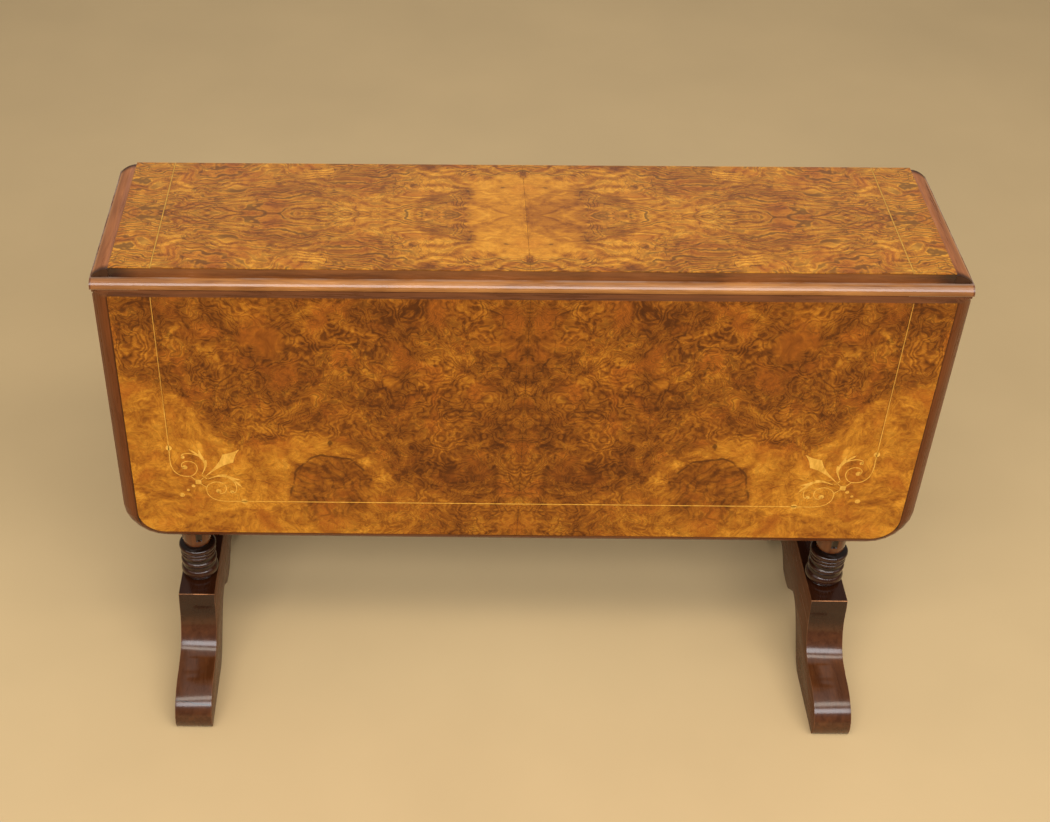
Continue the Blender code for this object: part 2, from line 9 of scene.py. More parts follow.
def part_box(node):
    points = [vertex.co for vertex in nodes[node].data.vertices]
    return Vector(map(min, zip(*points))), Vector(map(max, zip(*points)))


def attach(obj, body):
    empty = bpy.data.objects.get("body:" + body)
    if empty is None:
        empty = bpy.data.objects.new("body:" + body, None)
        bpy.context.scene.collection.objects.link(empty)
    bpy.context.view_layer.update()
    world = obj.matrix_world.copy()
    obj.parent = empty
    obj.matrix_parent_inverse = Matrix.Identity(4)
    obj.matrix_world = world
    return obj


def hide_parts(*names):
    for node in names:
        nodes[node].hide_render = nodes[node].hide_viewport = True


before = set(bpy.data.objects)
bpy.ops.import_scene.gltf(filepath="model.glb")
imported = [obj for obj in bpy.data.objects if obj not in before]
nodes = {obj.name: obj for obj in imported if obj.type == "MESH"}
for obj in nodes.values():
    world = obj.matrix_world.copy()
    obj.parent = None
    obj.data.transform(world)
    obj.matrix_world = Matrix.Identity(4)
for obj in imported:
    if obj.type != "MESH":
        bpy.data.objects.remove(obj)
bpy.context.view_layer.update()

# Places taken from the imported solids
LEAF_FACE = -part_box("front_leaf_veneer_left")[0].y
LEAF_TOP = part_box("front_leaf_veneer_left")[1].z
FACE_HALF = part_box("front_leaf_band_right")[1].x
FACE_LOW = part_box("front_leaf_band_bottom")[0].z
STRING_X = (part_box("front_leaf_string_right")[0].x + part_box("front_leaf_string_right")[1].x) / 2
STRING_Z = (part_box("front_leaf_string_bottom")[0].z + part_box("front_leaf_string_bottom")[1].z) / 2
FOOT_LOW, FOOT_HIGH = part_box("right_foot")
FOOT_X = (FOOT_LOW.x + FOOT_HIGH.x) / 2
FOOT_HALF = FOOT_HIGH.y
FOOT_THICK = FOOT_HIGH.x - FOOT_LOW.x
BLOCK_HEIGHT = FOOT_HIGH.z
BEARER_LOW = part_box("right_bearer")[0].z
AXIS_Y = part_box("top_veneer_rear_left")[1].y
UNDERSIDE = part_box("top_board")[0].z
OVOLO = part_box("top_board")[1].y - AXIS_Y
STEP_FOOT = UNDERSIDE + OVOLO
COLUMN_Y = (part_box("right_rear_column")[0].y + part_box("right_rear_column")[1].y) / 2

# Veneer, inlay, and the filler put in a leaf's hollow edge so that the joint shows shade; the filler's arc is
# in degrees
VENEER_THICK = 0.001
FACE_CORNER = 0.0328
SEAM = 0.00015
INLAY_PROUD = 0.00008
STRING_WIDTH = 0.0012
SIDE_STRING_WIDTH = 0.0008
SCROLL_WIDTH = 0.0011
SQUARE_RISE = 0.0335
SQUARE_INSET = 0.0335
FILLER_GAP = 0.00012
FILLER_OUTER = 0.0006
FILLER_ARC = (-0.6, -16)

# Screw heads of a hinge plate: places are shares of its width and height, SCREW_SLOT is half the slot's angle
SCREW_PLACES = ((0.22, 0.72), (0.78, 0.72), (0.5, 0.26))
SCREW_RADIUS = 0.0028
SCREW_SLOT = 9
SCREW_PROUD = 0.0003

# Trestle foot, the same sizes as the solid
TOE_LENGTH = 0.1182
TOE_NOSE = 0.0154
TOE_HEIGHT = 0.0528
TOE_ROUND = 0.0605
TOE_PAD = 0.006
COVE_REACH = 0.0468
COVE_HEIGHT = 0.066
INSTEP_RISE = 0.0022
BLOCK_LEAN = 0.0033
ARCH_LEAD = 0.0132
ARCH_HEIGHT = 0.0671
CROWN_FLAT = 0.0055
PENDANT_HALF = 0.022
PENDANT_HEIGHT = 0.0451
PENDANT_SWELL = 0.0055
PENDANT_SHOULDER = 0.022
ARCH_STEPS = 18

# Softened edges of a foot: width, wear, the angles that are softened and shaded sharp, how near the block's
# front and rear edges the finish is rubbed through, and how squarely a side faces outward
FOOT_BEVEL = 0.0007
EDGE_WEAR = 0.18
FOOT_SHARP = 28
FOOT_SMOOTH = 40
BLOCK_ARRIS = 0.002
SIDE_FACING = 0.9

# Crack across the left front toe: y of its line where x is 0, slant, half width, and the x where it fades in
CRACK_PLACE = -0.2680
CRACK_SLANT = 0.089
CRACK_HALF = 0.0010
CRACK_END = (-0.398, -0.404)

# Turned columns and stretcher, the same sizes as the solids
SHAFT_RADIUS = 0.0192
TORUS_RADIUS = 0.025
TORUS_TALL = 0.017
WAIST_RADIUS = 0.0222
COVE_DEPTH = 0.0012
COVE_TALL = 0.005
BEAD_RADIUS = 0.024
BEAD_TALL = 0.0075
FINE_LEAD = 0.0055
FINE_RING = 0.0016
FINE_PITCH = 0.0055
FINE_COUNT = 2
COLLAR_RADIUS = 0.025
COLLAR_TALL = 0.0085
NECK_TALL = 0.006
SEAT_GAP = 0.0003
STRETCHER_RADIUS = 0.0138
STRETCHER_SWELL = 0.0033
STRETCHER_COLLAR = 0.0198
STRETCHER_RING = 0.0165
# Swell between a collar and the middle rings: shares of the way and of STRETCHER_SWELL
STRETCHER_CURVE = ((0.0, -1.0), (0.12, -0.45), (0.3, 0.35), (0.5, 1.0), (0.7, 0.75), (0.88, 0.25), (1.0, 0.0))

# Fine turning: quirks between the rings, and flutes of the shafts with the steepness of their walls and ends
COLUMN_SIDES = 96
TURNED_SMOOTH = 50
QUIRK = 0.0007
FLUTES = 4
FLUTE_HALF = 0.0045
FLUTE_DEPTH = 0.0022
FLUTE_WALL = 2.5
FLUTE_RUNOUT = 4
FLUTE_CLEAR = 0.008
FLUTE_LIP = 0.0005
FLUTE_END = 0.01
FLUTE_STEPS = 8
FLUTE_TURN = {("left", "front"): radians(18.75)}


class Graph:
    """A material's node tree, with short calls for the nodes that the finishes use."""

    def __init__(self, name):
        self.material = bpy.data.materials.new(name)
        self.material.use_nodes = True
        self.tree = self.material.node_tree
        self.shader = self.tree.nodes["Principled BSDF"]

    def feed(self, socket, value):
        if isinstance(value, bpy.types.NodeSocket):
            self.tree.links.new(value, socket)
        else:
            socket.default_value = value

    def add(self, kind, inputs, **settings):
        node = self.tree.nodes.new(kind)
        for key, value in settings.items():
            setattr(node, key, value)
        for socket, value in inputs.items():
            self.feed(node.inputs[socket], value)
        return node

    def set(self, **values):
        for name, value in values.items():
            self.feed(self.shader.inputs[name.replace("_", " ")], value)

    def place(self):
        return self.add("ShaderNodeTexCoord", {}).outputs["Object"]

    def split(self, vector):
        return self.add("ShaderNodeSeparateXYZ", {0: vector}).outputs

    def join(self, x, y, z=0.0):
        return self.add("ShaderNodeCombineXYZ", {0: x, 1: y, 2: z}).outputs[0]

    def math(self, operation, a, b=0.0, clamp=False):
        node = self.add("ShaderNodeMath", {0: a, 1: b}, operation=operation, use_clamp=clamp)
        return node.outputs[0]

    def vector(self, operation, a, b):
        node = self.add("ShaderNodeVectorMath", {0: a, 1: b}, operation=operation)
        return node.outputs["Value" if operation in ("DISTANCE", "DOT_PRODUCT", "LENGTH") else 0]

    def total(self, *terms):
        """Sum of (value, weight) terms."""
        result = 0.0
        for value, weight in terms:
            node = self.add("ShaderNodeMath", {0: value, 1: weight, 2: result}, operation="MULTIPLY_ADD")
            result = node.outputs[0]
        return result

    def product(self, first, *others):
        for other in others:
            first = self.math("MULTIPLY", first, other)
        return first

    def most(self, first, *others):
        for other in others:
            first = self.math("MAXIMUM", first, other)
        return first

    def near(self, value, place, width):
        """One where a value is at a place, falling to nothing a width away."""
        return self.remap(self.math("ABSOLUTE", self.math("SUBTRACT", value, place)), 0.0, width, 1.0, 0.0)

    def waves(self, value, step, thin):
        """Lines of one where a value passes each step; thin is near one for hair lines."""
        return self.remap(self.math("SINE", self.math("MULTIPLY", value, 2 * pi / step)), thin, 1.0)

    def stroke(self, point, path, width, core=0.3):
        """One on a line through flat points, falling to nothing from a core of its half width outward."""
        nearest = width
        for a, b in zip(path, path[1:]):
            run = (b[0] - a[0], b[1] - a[1], 0.0)
            start = self.vector("SUBTRACT", point, (*a, 0.0))
            along = self.vector("DOT_PRODUCT", start, run)
            share = self.math("DIVIDE", along, run[0] ** 2 + run[1] ** 2, clamp=True)
            off = self.vector("DISTANCE", start, self.scaled(run, share))
            nearest = self.math("MINIMUM", nearest, off)
        return self.remap(nearest, width * core, width, 1.0, 0.0)

    def scaled(self, a, factor):
        node = self.add("ShaderNodeVectorMath", {0: a, "Scale": factor}, operation="SCALE")
        return node.outputs[0]

    def noise(self, vector, scale, detail=2.0, roughness=0.5, distortion=0.0, colour=False):
        node = self.add("ShaderNodeTexNoise", {"Vector": vector, "Scale": scale, "Detail": detail,
                                               "Roughness": roughness, "Distortion": distortion})
        return node.outputs["Color" if colour else 0]

    def remap(self, value, low, high, to_low=0.0, to_high=1.0, smooth=True):
        node = self.add("ShaderNodeMapRange", {0: value, 1: low, 2: high, 3: to_low, 4: to_high})
        node.interpolation_type = "SMOOTHSTEP" if smooth else "LINEAR"
        return node.outputs[0]

    def ramp(self, value, stops):
        node = self.add("ShaderNodeValToRGB", {0: value})
        marks = node.color_ramp.elements
        while len(marks) < len(stops):
            marks.new(0.5)
        for mark, (position, colour) in zip(marks, stops):
            mark.position = position
            mark.color = (*colour, 1.0)
        return node.outputs[0]

    def mix(self, share, a, b, blend="MIX"):
        node = self.tree.nodes.new("ShaderNodeMix")
        node.data_type = "RGBA"
        node.blend_type = blend
        self.feed(node.inputs[0], share)
        for index, value in ((6, a), (7, b)):
            self.feed(node.inputs[index], value if isinstance(value, bpy.types.NodeSocket) else (*value, 1.0))
        return node.outputs[2]

    def warp(self, vector, scale, amount, detail=1.0):
        """The vector pushed about by a coloured noise, which bends all that is drawn after it."""
        push = self.vector("SUBTRACT", self.noise(vector, scale, detail, colour=True), (0.5, 0.5, 0.5))
        return self.vector("ADD", vector, self.scaled(push, amount))

    def bump(self, height, strength, distance):
        node = self.add("ShaderNodeBump", {"Height": height, "Strength": strength, "Distance": distance})
        self.feed(self.shader.inputs["Normal"], node.outputs[0])


# Linear colours of the burr, dark to light
BURR_TONES = [(0.30, (0.080, 0.0205, 0.0025)), (0.40, (0.20, 0.057, 0.0050)), (0.49, (0.345, 0.114, 0.0090)),
              (0.60, (0.56, 0.224, 0.0175)), (0.72, (0.74, 0.350, 0.0400))]
BURR_INK = (0.055, 0.015, 0.003)
BURR_RED = (0.42, 0.112, 0.010)

# Bends of the burr's ground as (scale of the noise, push in metres): two broad ones, then a close one
BROAD_BENDS = ((8.0, 0.07), (26.0, 0.030))
CLOSE_BEND = (75.0, 0.012)


def burr_ground(graph, flat, run):
    """Two bent copies of a flat mirrored vector, broad and close, that carry the figure of the burr."""
    broad = graph.vector("MULTIPLY", flat, run)
    for scale, push in BROAD_BENDS:
        broad = graph.warp(broad, scale, push, 2.0)
    return broad, graph.warp(broad, *CLOSE_BEND, 2.0)


def burr_colour(graph, broad, close, flow, bold, lift, quiet, marks):
    """Colour and tone of the burr: clouds and mottle, lines along the flow, curls, pips and fibre.

    bold is the strength of the lines, lift is added to the tone, quiet is the share by which lines fade and
    marks are lines drawn one by one.
    """
    loud = graph.math("SUBTRACT", 1.0, quiet)
    cloud = graph.noise(broad, 10.0, 4.0, 0.6)
    mottle = graph.noise(close, 50.0, 4.0, 0.65)
    speckle = graph.noise(close, 170.0, 3.0, 0.6)
    ripple = graph.product(graph.math("SINE", graph.product(flow, 2 * pi)), loud, bold)
    tone = graph.total((cloud, 0.40), (mottle, 0.48), (speckle, 0.18), (ripple, 0.075), (0.03, -1.0),
                       (lift, 1.0))
    colour = graph.ramp(tone, BURR_TONES)
    reddish = graph.remap(graph.noise(broad, 23.0, 3.0), 0.50, 0.68, 0.0, 0.45)
    colour = graph.mix(reddish, colour, BURR_RED)
    lines = graph.product(graph.waves(flow, 1.0, 0.45),
                          graph.remap(graph.noise(broad, 15.0, 2.0), 0.36, 0.56))
    curls = graph.product(graph.near(graph.noise(close, 62.0, 2.0), 0.5, 0.045),
                          graph.remap(graph.noise(broad, 19.0, 2.0), 0.40, 0.60))
    hairs = graph.near(graph.noise(close, 150.0, 3.0), 0.5, 0.06)
    pip = graph.add("ShaderNodeTexVoronoi", {"Vector": close, "Scale": 42.0})
    chosen = graph.remap(graph.split(pip.outputs["Color"])[0], 0.70, 0.72)
    pips = graph.product(graph.remap(pip.outputs["Distance"], 0.13, 0.05), chosen)
    ink = graph.most(graph.product(lines, loud, bold), graph.product(curls, loud, 0.85),
                     graph.product(hairs, graph.remap(loud, 0.0, 1.0, 0.15, 0.45)),
                     graph.product(pips, 0.8), marks)
    colour = graph.mix(graph.product(ink, 0.80), colour, BURR_INK)
    return colour, graph.total((tone, 1.0), (ink, -0.25))


# Roughness of a thin and of a full coat of polish, and the depth of its ripple
THIN_COAT = 0.14
FULL_COAT = 0.15
RIPPLE_DEPTH = 0.0004


def polish(graph, colour, height, roughness, gloss=0.22, ripple=0.05, coat=None):
    """French polish over a wood colour: soft gloss with a little ripple, under a clear coat.

    coat is the weight of a full coat; without it the coat is thin, with half the weight of the gloss.
    """
    weight, haze = (gloss / 2, THIN_COAT) if coat is None else (coat, FULL_COAT)
    graph.set(Base_Color=colour, Coat_Weight=weight, Coat_Roughness=haze, Specular_IOR_Level=gloss)
    graph.set(Roughness=graph.remap(height, 0.3, 0.7, roughness - 0.05, roughness + 0.07))
    graph.bump(height, ripple, RIPPLE_DEPTH)


# Height of the edge of the pale sapwood on a leaf, at shares of half a metre outward from the seam
SAP_EDGE = [(0.0, 0.335), (0.24, 0.350), (0.40, 0.395), (0.49, 0.435), (0.58, 0.425), (0.66, 0.405),
            (0.72, 0.425), (0.78, 0.460), (0.86, 0.495), (0.97, 0.525)]

# Marks of a leaf's figure, with places as (distance from the seam, height, 0); the numbers of a shape bring
# its half width and half height to one
EYE_PLACE = (0.238, 0.344, 0.0)
EYE_INNER, EYE_OUTER = 0.047, 0.057
EYE_GRAIN_PLACE = (0.300, 0.310, 0.0)
EYE_GRAIN_STEP = 0.0105
HALO_RADIUS, HALO_WIDTH = 0.070, 0.017
VASE_PLACE = (0.0, 0.560, 0.0)
VASE_SHAPE = (29.0, 27.0, 1.0)
DROP_PLACE = (0.0, 0.5575, 0.0)
DROP_SHAPE = (220.0, 84.0, 1.0)
BLOB_PLACE = (0.157, 0.513, 0.0)
BLOB_RADIUS = 0.0125
PLAIN_PLACE = (0.312, 0.570, 0.0)
PLAIN_RADIUS = 0.030
KNOT_PLACE = (0.234, 0.418, 0.0)
STRING_LINE_INSET = 0.0024
MIDDLE = (0.0, 0.0, 0.0)

# Dark lines of a leaf's figure as (strength, half width, points): vase on the seam, flame and brow, round eye
FIGURE_LINES = [
    (1.00, 0.0020, [(0.032, 0.567), (0.032, 0.555), (0.025, 0.550), (0.019, 0.540), (0.020, 0.533),
                    (0.010, 0.530), (0.0, 0.525)]),
    (0.55, 0.0018, [(0.0, 0.595), (0.010, 0.577), (0.013, 0.554), (0.011, 0.538)]),
    (0.80, 0.0018, [(0.057, 0.633), (0.054, 0.624), (0.031, 0.614), (0.030, 0.597), (0.016, 0.589)]),
    (0.95, 0.0026, [(0.287, 0.333), (0.280, 0.370), (0.261, 0.393), (0.248, 0.398), (0.211, 0.391),
                    (0.196, 0.376), (0.186, 0.358)]),
]


def leaf_burr():
    """Book-matched burr of the leaves: sapwood at the lower corners, round eyes, a vase on the seam."""
    graph = Graph("burr_leaf")
    x, _, z = graph.split(graph.place())
    away = graph.math("ABSOLUTE", x)
    flat = graph.join(away, z)
    broad, close = burr_ground(graph, flat, (1.0, 1.0, 1.0))
    bent = graph.warp(graph.warp(flat, 38.0, 0.016, 2.0), 120.0, 0.005, 2.0)
    bent_x, bent_z, _ = graph.split(bent)
    edge = graph.ramp(graph.product(bent_x, 2.0), [(at, (high,) * 3) for at, high in SAP_EDGE])
    sap = graph.remap(graph.math("SUBTRACT", graph.split(broad)[1], edge), 0.014, -0.014)
    sap = graph.product(sap, graph.remap(bent_x, 0.08, 0.27, 0.25, 1.0))
    torn = graph.warp(bent, 24.0, 0.026, 2.0)
    eye_off = graph.vector("DISTANCE", bent, EYE_PLACE)
    eye = graph.remap(eye_off, EYE_OUTER, EYE_INNER)
    broken = graph.remap(graph.noise(flat, 55.0, 2.0), 0.36, 0.52)
    fading = graph.remap(broken, 0.0, 1.0, 0.35, 1.0)
    eye_turn = graph.vector("DISTANCE", graph.warp(torn, 60.0, 0.014, 2.0), EYE_GRAIN_PLACE)
    eye_rings = graph.product(eye, graph.waves(eye_turn, EYE_GRAIN_STEP, 0.0), fading)
    halo = graph.product(graph.near(eye_off, HALO_RADIUS, HALO_WIDTH), graph.remap(bent_z, 0.345, 0.375))
    soft = graph.warp(flat, 70.0, 0.006, 3.0)
    drawn = 0.0
    for strength, width, path in FIGURE_LINES:
        drawn = graph.most(graph.product(graph.stroke(soft, path, width), strength), drawn)
    drawn = graph.product(drawn, fading)
    on_vase = graph.vector("MULTIPLY", graph.vector("SUBTRACT", soft, VASE_PLACE), VASE_SHAPE)
    calm = graph.remap(graph.vector("LENGTH", on_vase, MIDDLE), 1.2, 0.8)
    on_drop = graph.vector("MULTIPLY", graph.vector("SUBTRACT", soft, DROP_PLACE), DROP_SHAPE)
    drop = graph.remap(graph.vector("LENGTH", on_drop, MIDDLE), 1.3, 0.4)
    blob_off = graph.vector("DISTANCE", bent, BLOB_PLACE)
    plain_off = graph.vector("DISTANCE", graph.warp(torn, 16.0, 0.05, 2.0), PLAIN_PLACE)
    plain = graph.remap(plain_off, 0.032, 0.018)
    blob_rim = graph.near(blob_off, BLOB_RADIUS, 0.0018)
    plain_rim = graph.product(graph.near(plain_off, PLAIN_RADIUS, 0.0034), broken,
                              graph.remap(bent_x, 0.315, 0.300))
    rims = graph.most(blob_rim, plain_rim)
    knot = graph.remap(graph.vector("DISTANCE", bent, KNOT_PLACE), 0.006, 0.003)
    # A thin dark line beside each side string
    string_line = graph.product(graph.near(away, STRING_X - STRING_LINE_INSET, 0.0007), graph.remap(z, 0.42, 0.43), 0.7)
    marks = graph.most(graph.product(eye_rings, 0.60), graph.product(drop, 0.70), graph.product(rims, 0.75),
                       knot, string_line, drawn)
    seam = graph.product(graph.remap(away, 0.05, 0.0), graph.remap(z, 0.40, 0.48))
    round_light = graph.remap(blob_off, 0.012, 0.006)
    # Painted shade: the -0.082 in the lift paints the hanging leaves darker than the top
    lift = graph.total((sap, 0.12), (halo, 0.06), (eye, -0.05), (seam, -0.02), (calm, 0.02),
                       (round_light, 0.08), (-0.082, 1.0))
    quiet = graph.most(graph.product(sap, 0.55), graph.product(halo, 0.6), graph.product(calm, 0.5), plain,
                       round_light, graph.product(eye, 0.6))
    flow = graph.product(graph.noise(bent, 12.0, 3.0), 26.0)
    colour, height = burr_colour(graph, broad, close, flow, 0.75, lift, quiet, marks)
    colour = graph.mix(graph.product(plain, 0.25), colour, BURR_RED)
    polish(graph, colour, height, 0.34, 0.14)
    return graph.material


# Figure of the top: half sizes of the plain patch, slope of the lit wedges in the painted sheen shade of its
# right half, and eyes on the long middle line as (distance from the middle, reach, step of the rings)
PATCH_HALF_X, PATCH_HALF_Y = 0.068, 0.094
WEDGE_SLOPE = -0.66
TOP_EYES = ((0.393, 0.034, 0.0075), (0.463, 0.026, 0.0070), (0.215, 0.018, 0.0065))


def top_burr():
    """Quarter-matched burr of the top: figure drawn out along the table, a plain patch midway, end eyes."""
    graph = Graph("burr_top")
    x, y, _ = graph.split(graph.place())
    flat = graph.join(graph.math("ABSOLUTE", x), graph.math("ABSOLUTE", y))
    broad, close = burr_ground(graph, flat, (0.75, 1.2, 1.0))
    bent = graph.warp(graph.warp(flat, 30.0, 0.018, 2.0), 110.0, 0.006, 2.0)
    bent_x, bent_y, _ = graph.split(bent)
    torn_x, torn_y, _ = graph.split(graph.warp(bent, 17.0, 0.045, 2.0))
    patch = graph.total((graph.math("POWER", graph.math("DIVIDE", torn_x, PATCH_HALF_X), 4.0), 1.0),
                        (graph.math("POWER", graph.math("DIVIDE", torn_y, PATCH_HALF_Y), 4.0), 1.0))
    plain = graph.remap(patch, 1.25, 0.70)
    broken = graph.remap(graph.noise(broad, 40.0, 2.0), 0.40, 0.55)
    marks = graph.product(graph.waves(patch, 0.42, 0.2), graph.remap(patch, 0.95, 1.25),
                          graph.remap(patch, 4.0, 2.2), broken, 0.85)
    for centre, reach, step in TOP_EYES:
        along = graph.math("ABSOLUTE", graph.math("SUBTRACT", bent_x, centre))
        off = graph.total((along, 0.45), (bent_y, 1.0))
        rings = graph.product(graph.waves(off, step, 0.1), graph.remap(off, reach, reach * 0.7))
        marks = graph.most(graph.product(rings, 0.8), marks)
    flow = graph.total((bent_y, 80.0), (graph.noise(broad, 12.0, 2.0), 9.0))
    # Painted sheen: the right half of the plain patch is painted darker, lighter again in wedges, as light
    # plays on the veneer
    slanted = graph.total((graph.math("ABSOLUTE", y), 1.0), (graph.math("ABSOLUTE", x), WEDGE_SLOPE))
    sheen_wedge = graph.remap(slanted, 0.028, 0.036)
    turned = graph.product(plain, graph.remap(x, -0.0002, 0.0002), graph.remap(sheen_wedge, 0.0, 1.0, 1.0, 0.15))
    # Painted light: the 0.040 in the lift paints the flat top lighter than the hanging leaves
    lift = graph.total((plain, 0.055), (turned, -0.065), (0.040, 1.0))
    quiet = graph.product(plain, 0.85)
    colour, height = burr_colour(graph, broad, close, flow, 0.95, lift, quiet, marks)
    polish(graph, colour, height, 0.34)
    return graph.material


# Solid wood: how fine its grain is across and along, the tones of its dark and light streaks, and the base's
GRAIN_ACROSS = 34.0
GRAIN_ALONG = 2.4
DARK_STREAK, LIGHT_STREAK = 0.32, 0.68
BASE_STREAKS = (0.32, 0.52, 0.72)
PALE_SHAFT = [(0.32, (0.060, 0.0150, 0.0036)), (0.70, (0.19, 0.056, 0.0120))]

# Colours of wear and dirt, of darker ends, and of painted shade: on the foot blocks, mixed with dirt in
# grooves and quirks, and in creases
BLOCK_SHADE = (0.016, 0.0036, 0.0012)
CRACK = (0.006, 0.003, 0.002)
RUBBED = (0.50, 0.22, 0.095)
GROOVE_DIRT_AND_SHADE = (0.008, 0.0040, 0.0024)
END_RIM = (0.56, 0.26, 0.11)
END_DARK = (0.018, 0.006, 0.003)
BEAD_END = (0.17, 0.060, 0.022)
STEP_ENDS_DARK = (0.012, 0.004, 0.003)
CUT_END = (0.13, 0.040, 0.013)
WAX = (0.42, 0.33, 0.26)
CREASE_SHADE = (0.012, 0.004, 0.002)
DULL_BOXWOOD = (0.20, 0.080, 0.010)

# Where these set in and where they are full, as heights or distances from the middle (the heights of the
# block's painted shade start from COVE_HEIGHT), and half widths of the dark creases, which are painted shade
BLOCK_SHADE_FADE = (0.012, 0.042)
RIM_FADE = (0.5005, 0.5040)
END_DARK_FADE = (0.104, 0.1155)
BEAD_FADE = (0.36, 0.50)
STEP_FADE = (0.455, 0.505)
CUT_FADE = (0.5045, 0.5055)
DULL_FADE = (0.43, 0.50)
END_CREASE = 0.0018
LEAF_CREASE = 0.0034


def grain(graph, axis):
    """Tone of solid wood with its grain along an axis."""
    along = [GRAIN_ACROSS] * 3
    along["XYZ".index(axis)] = GRAIN_ALONG
    drawn = graph.warp(graph.place(), 9.0, 0.012)
    streaks = graph.noise(graph.vector("MULTIPLY", drawn, tuple(along)), 4.0, 5.0, 0.62, 0.3)
    return graph.total((streaks, 0.7), (graph.noise(graph.place(), 14.0, 3.0), 0.3))


def streaked(graph, tone, dark, light):
    """Colour of solid wood from its dark to its light streaks."""
    return graph.ramp(tone, [(DARK_STREAK, dark), (LIGHT_STREAK, light)])


def attribute(graph, name):
    """A number that a mesh carries."""
    return graph.add("ShaderNodeAttribute", {}, attribute_name=name).outputs["Fac"]


def base_wood(name, axis, gloss, tones, roughness=0.24, coat=None, of_foot=False):
    """Dark stained walnut of the base; a mesh says where it is rubbed (wear), lighter (pale), and darkened by
    dirt and painted shade in grooves, quirks and flutes.

    A foot is painted darker towards the top of its block as painted shade, and the left one has a crack
    across its front toe.
    """
    graph = Graph(name)
    tone = grain(graph, axis)
    colour = graph.ramp(tone, list(zip(BASE_STREAKS, tones)))
    height = tone
    if of_foot:
        x, y, z = graph.split(graph.place())
        # Painted shade: the block darkens towards its top
        stained = graph.remap(z, COVE_HEIGHT + BLOCK_SHADE_FADE[0], COVE_HEIGHT + BLOCK_SHADE_FADE[1], 0.0, 0.9)
        colour = graph.mix(stained, colour, BLOCK_SHADE)
        across = graph.total((y, 1.0), (x, CRACK_SLANT), (graph.noise(graph.place(), 70.0, 3.0), 0.006))
        crack = graph.product(graph.near(across, CRACK_PLACE, CRACK_HALF), graph.remap(x, *CRACK_END))
        colour = graph.mix(crack, colour, CRACK)
        height = graph.total((tone, 1.0), (crack, -60.0))
    rubbed = attribute(graph, "wear")
    patchy = graph.remap(graph.noise(graph.place(), 45.0, 3.0), 0.36, 0.60, 0.35, 1.0)
    colour = graph.mix(graph.product(rubbed, patchy), colour, RUBBED)
    pale = attribute(graph, "pale")
    colour = graph.mix(pale, colour, graph.ramp(tone, PALE_SHAFT))
    groove = attribute(graph, "groove")
    # Dirt and painted shade in grooves, quirks and flutes
    colour = graph.mix(graph.product(groove, 0.92), colour, GROOVE_DIRT_AND_SHADE)
    polish(graph, colour, height, roughness, gloss, 0.02, coat)
    return graph.material


def end_wood():
    """Reddish walnut of the end mouldings, darker where they meet the joints, with painted shade in the
    crease along the veneer.
    """
    graph = Graph("walnut_end_moulding")
    x, y, _ = graph.split(graph.place())
    tone = grain(graph, "Y")
    colour = streaked(graph, tone, (0.17, 0.052, 0.018), (0.45, 0.165, 0.058))
    rim = graph.remap(graph.math("ABSOLUTE", x), *RIM_FADE)
    colour = graph.mix(graph.product(rim, 0.6), colour, END_RIM)
    darkening = graph.remap(graph.math("ABSOLUTE", y), *END_DARK_FADE, 0.0, 0.9)
    # Painted shade: a dark crease where the moulding meets the veneer
    crease = graph.near(graph.math("ABSOLUTE", x), FACE_HALF, END_CREASE)
    colour = graph.mix(graph.most(darkening, graph.product(crease, 0.8)), colour, END_DARK)
    polish(graph, colour, tone, 0.30)
    return graph.material


def board_wood():
    """Walnut of the top's core: an orange bead with painted shade along its underside, a darker step above it
    that is black at the ends.
    """
    graph = Graph("walnut_board")
    x, _, z = graph.split(graph.place())
    tone = grain(graph, "X")
    bead = streaked(graph, tone, (0.17, 0.056, 0.012), (0.46, 0.195, 0.050))
    step = streaked(graph, tone, (0.085, 0.026, 0.007), (0.26, 0.085, 0.020))
    ends = graph.remap(graph.math("ABSOLUTE", x), *BEAD_FADE, 0.0, 0.55)
    bead = graph.mix(ends, bead, BEAD_END)
    above = graph.remap(z, STEP_FOOT - 0.0006, STEP_FOOT + 0.0004)
    colour = graph.mix(above, bead, step)
    # The step darkens towards its ends
    rough_x = graph.total((graph.math("ABSOLUTE", x), 1.0), (graph.noise(graph.place(), 30.0, 3.0), 0.03))
    ends = graph.product(graph.remap(rough_x, *STEP_FADE, 0.0, 0.92), above)
    colour = graph.mix(ends, colour, STEP_ENDS_DARK)
    # Painted shade: a dark line under the bead, just above the board's underside
    below = graph.remap(z, UNDERSIDE + 0.0006, UNDERSIDE + 0.0002)
    colour = graph.mix(below, colour, streaked(graph, tone, (0.075, 0.026, 0.0080), (0.19, 0.075, 0.0240)))
    cut_end = graph.remap(graph.math("ABSOLUTE", x), *CUT_FADE)
    colour = graph.mix(cut_end, colour, CUT_END)
    streaks = graph.noise(graph.vector("MULTIPLY", graph.place(), (0.25, 1.0, 1.0)), 60.0, 3.0)
    wax = graph.product(graph.near(z, STEP_FOOT, 0.0007), graph.remap(streaks, 0.36, 0.60))
    colour = graph.mix(graph.product(wax, 0.35), colour, WAX)
    polish(graph, colour, tone, 0.22, 0.26, coat=0.4)
    return graph.material


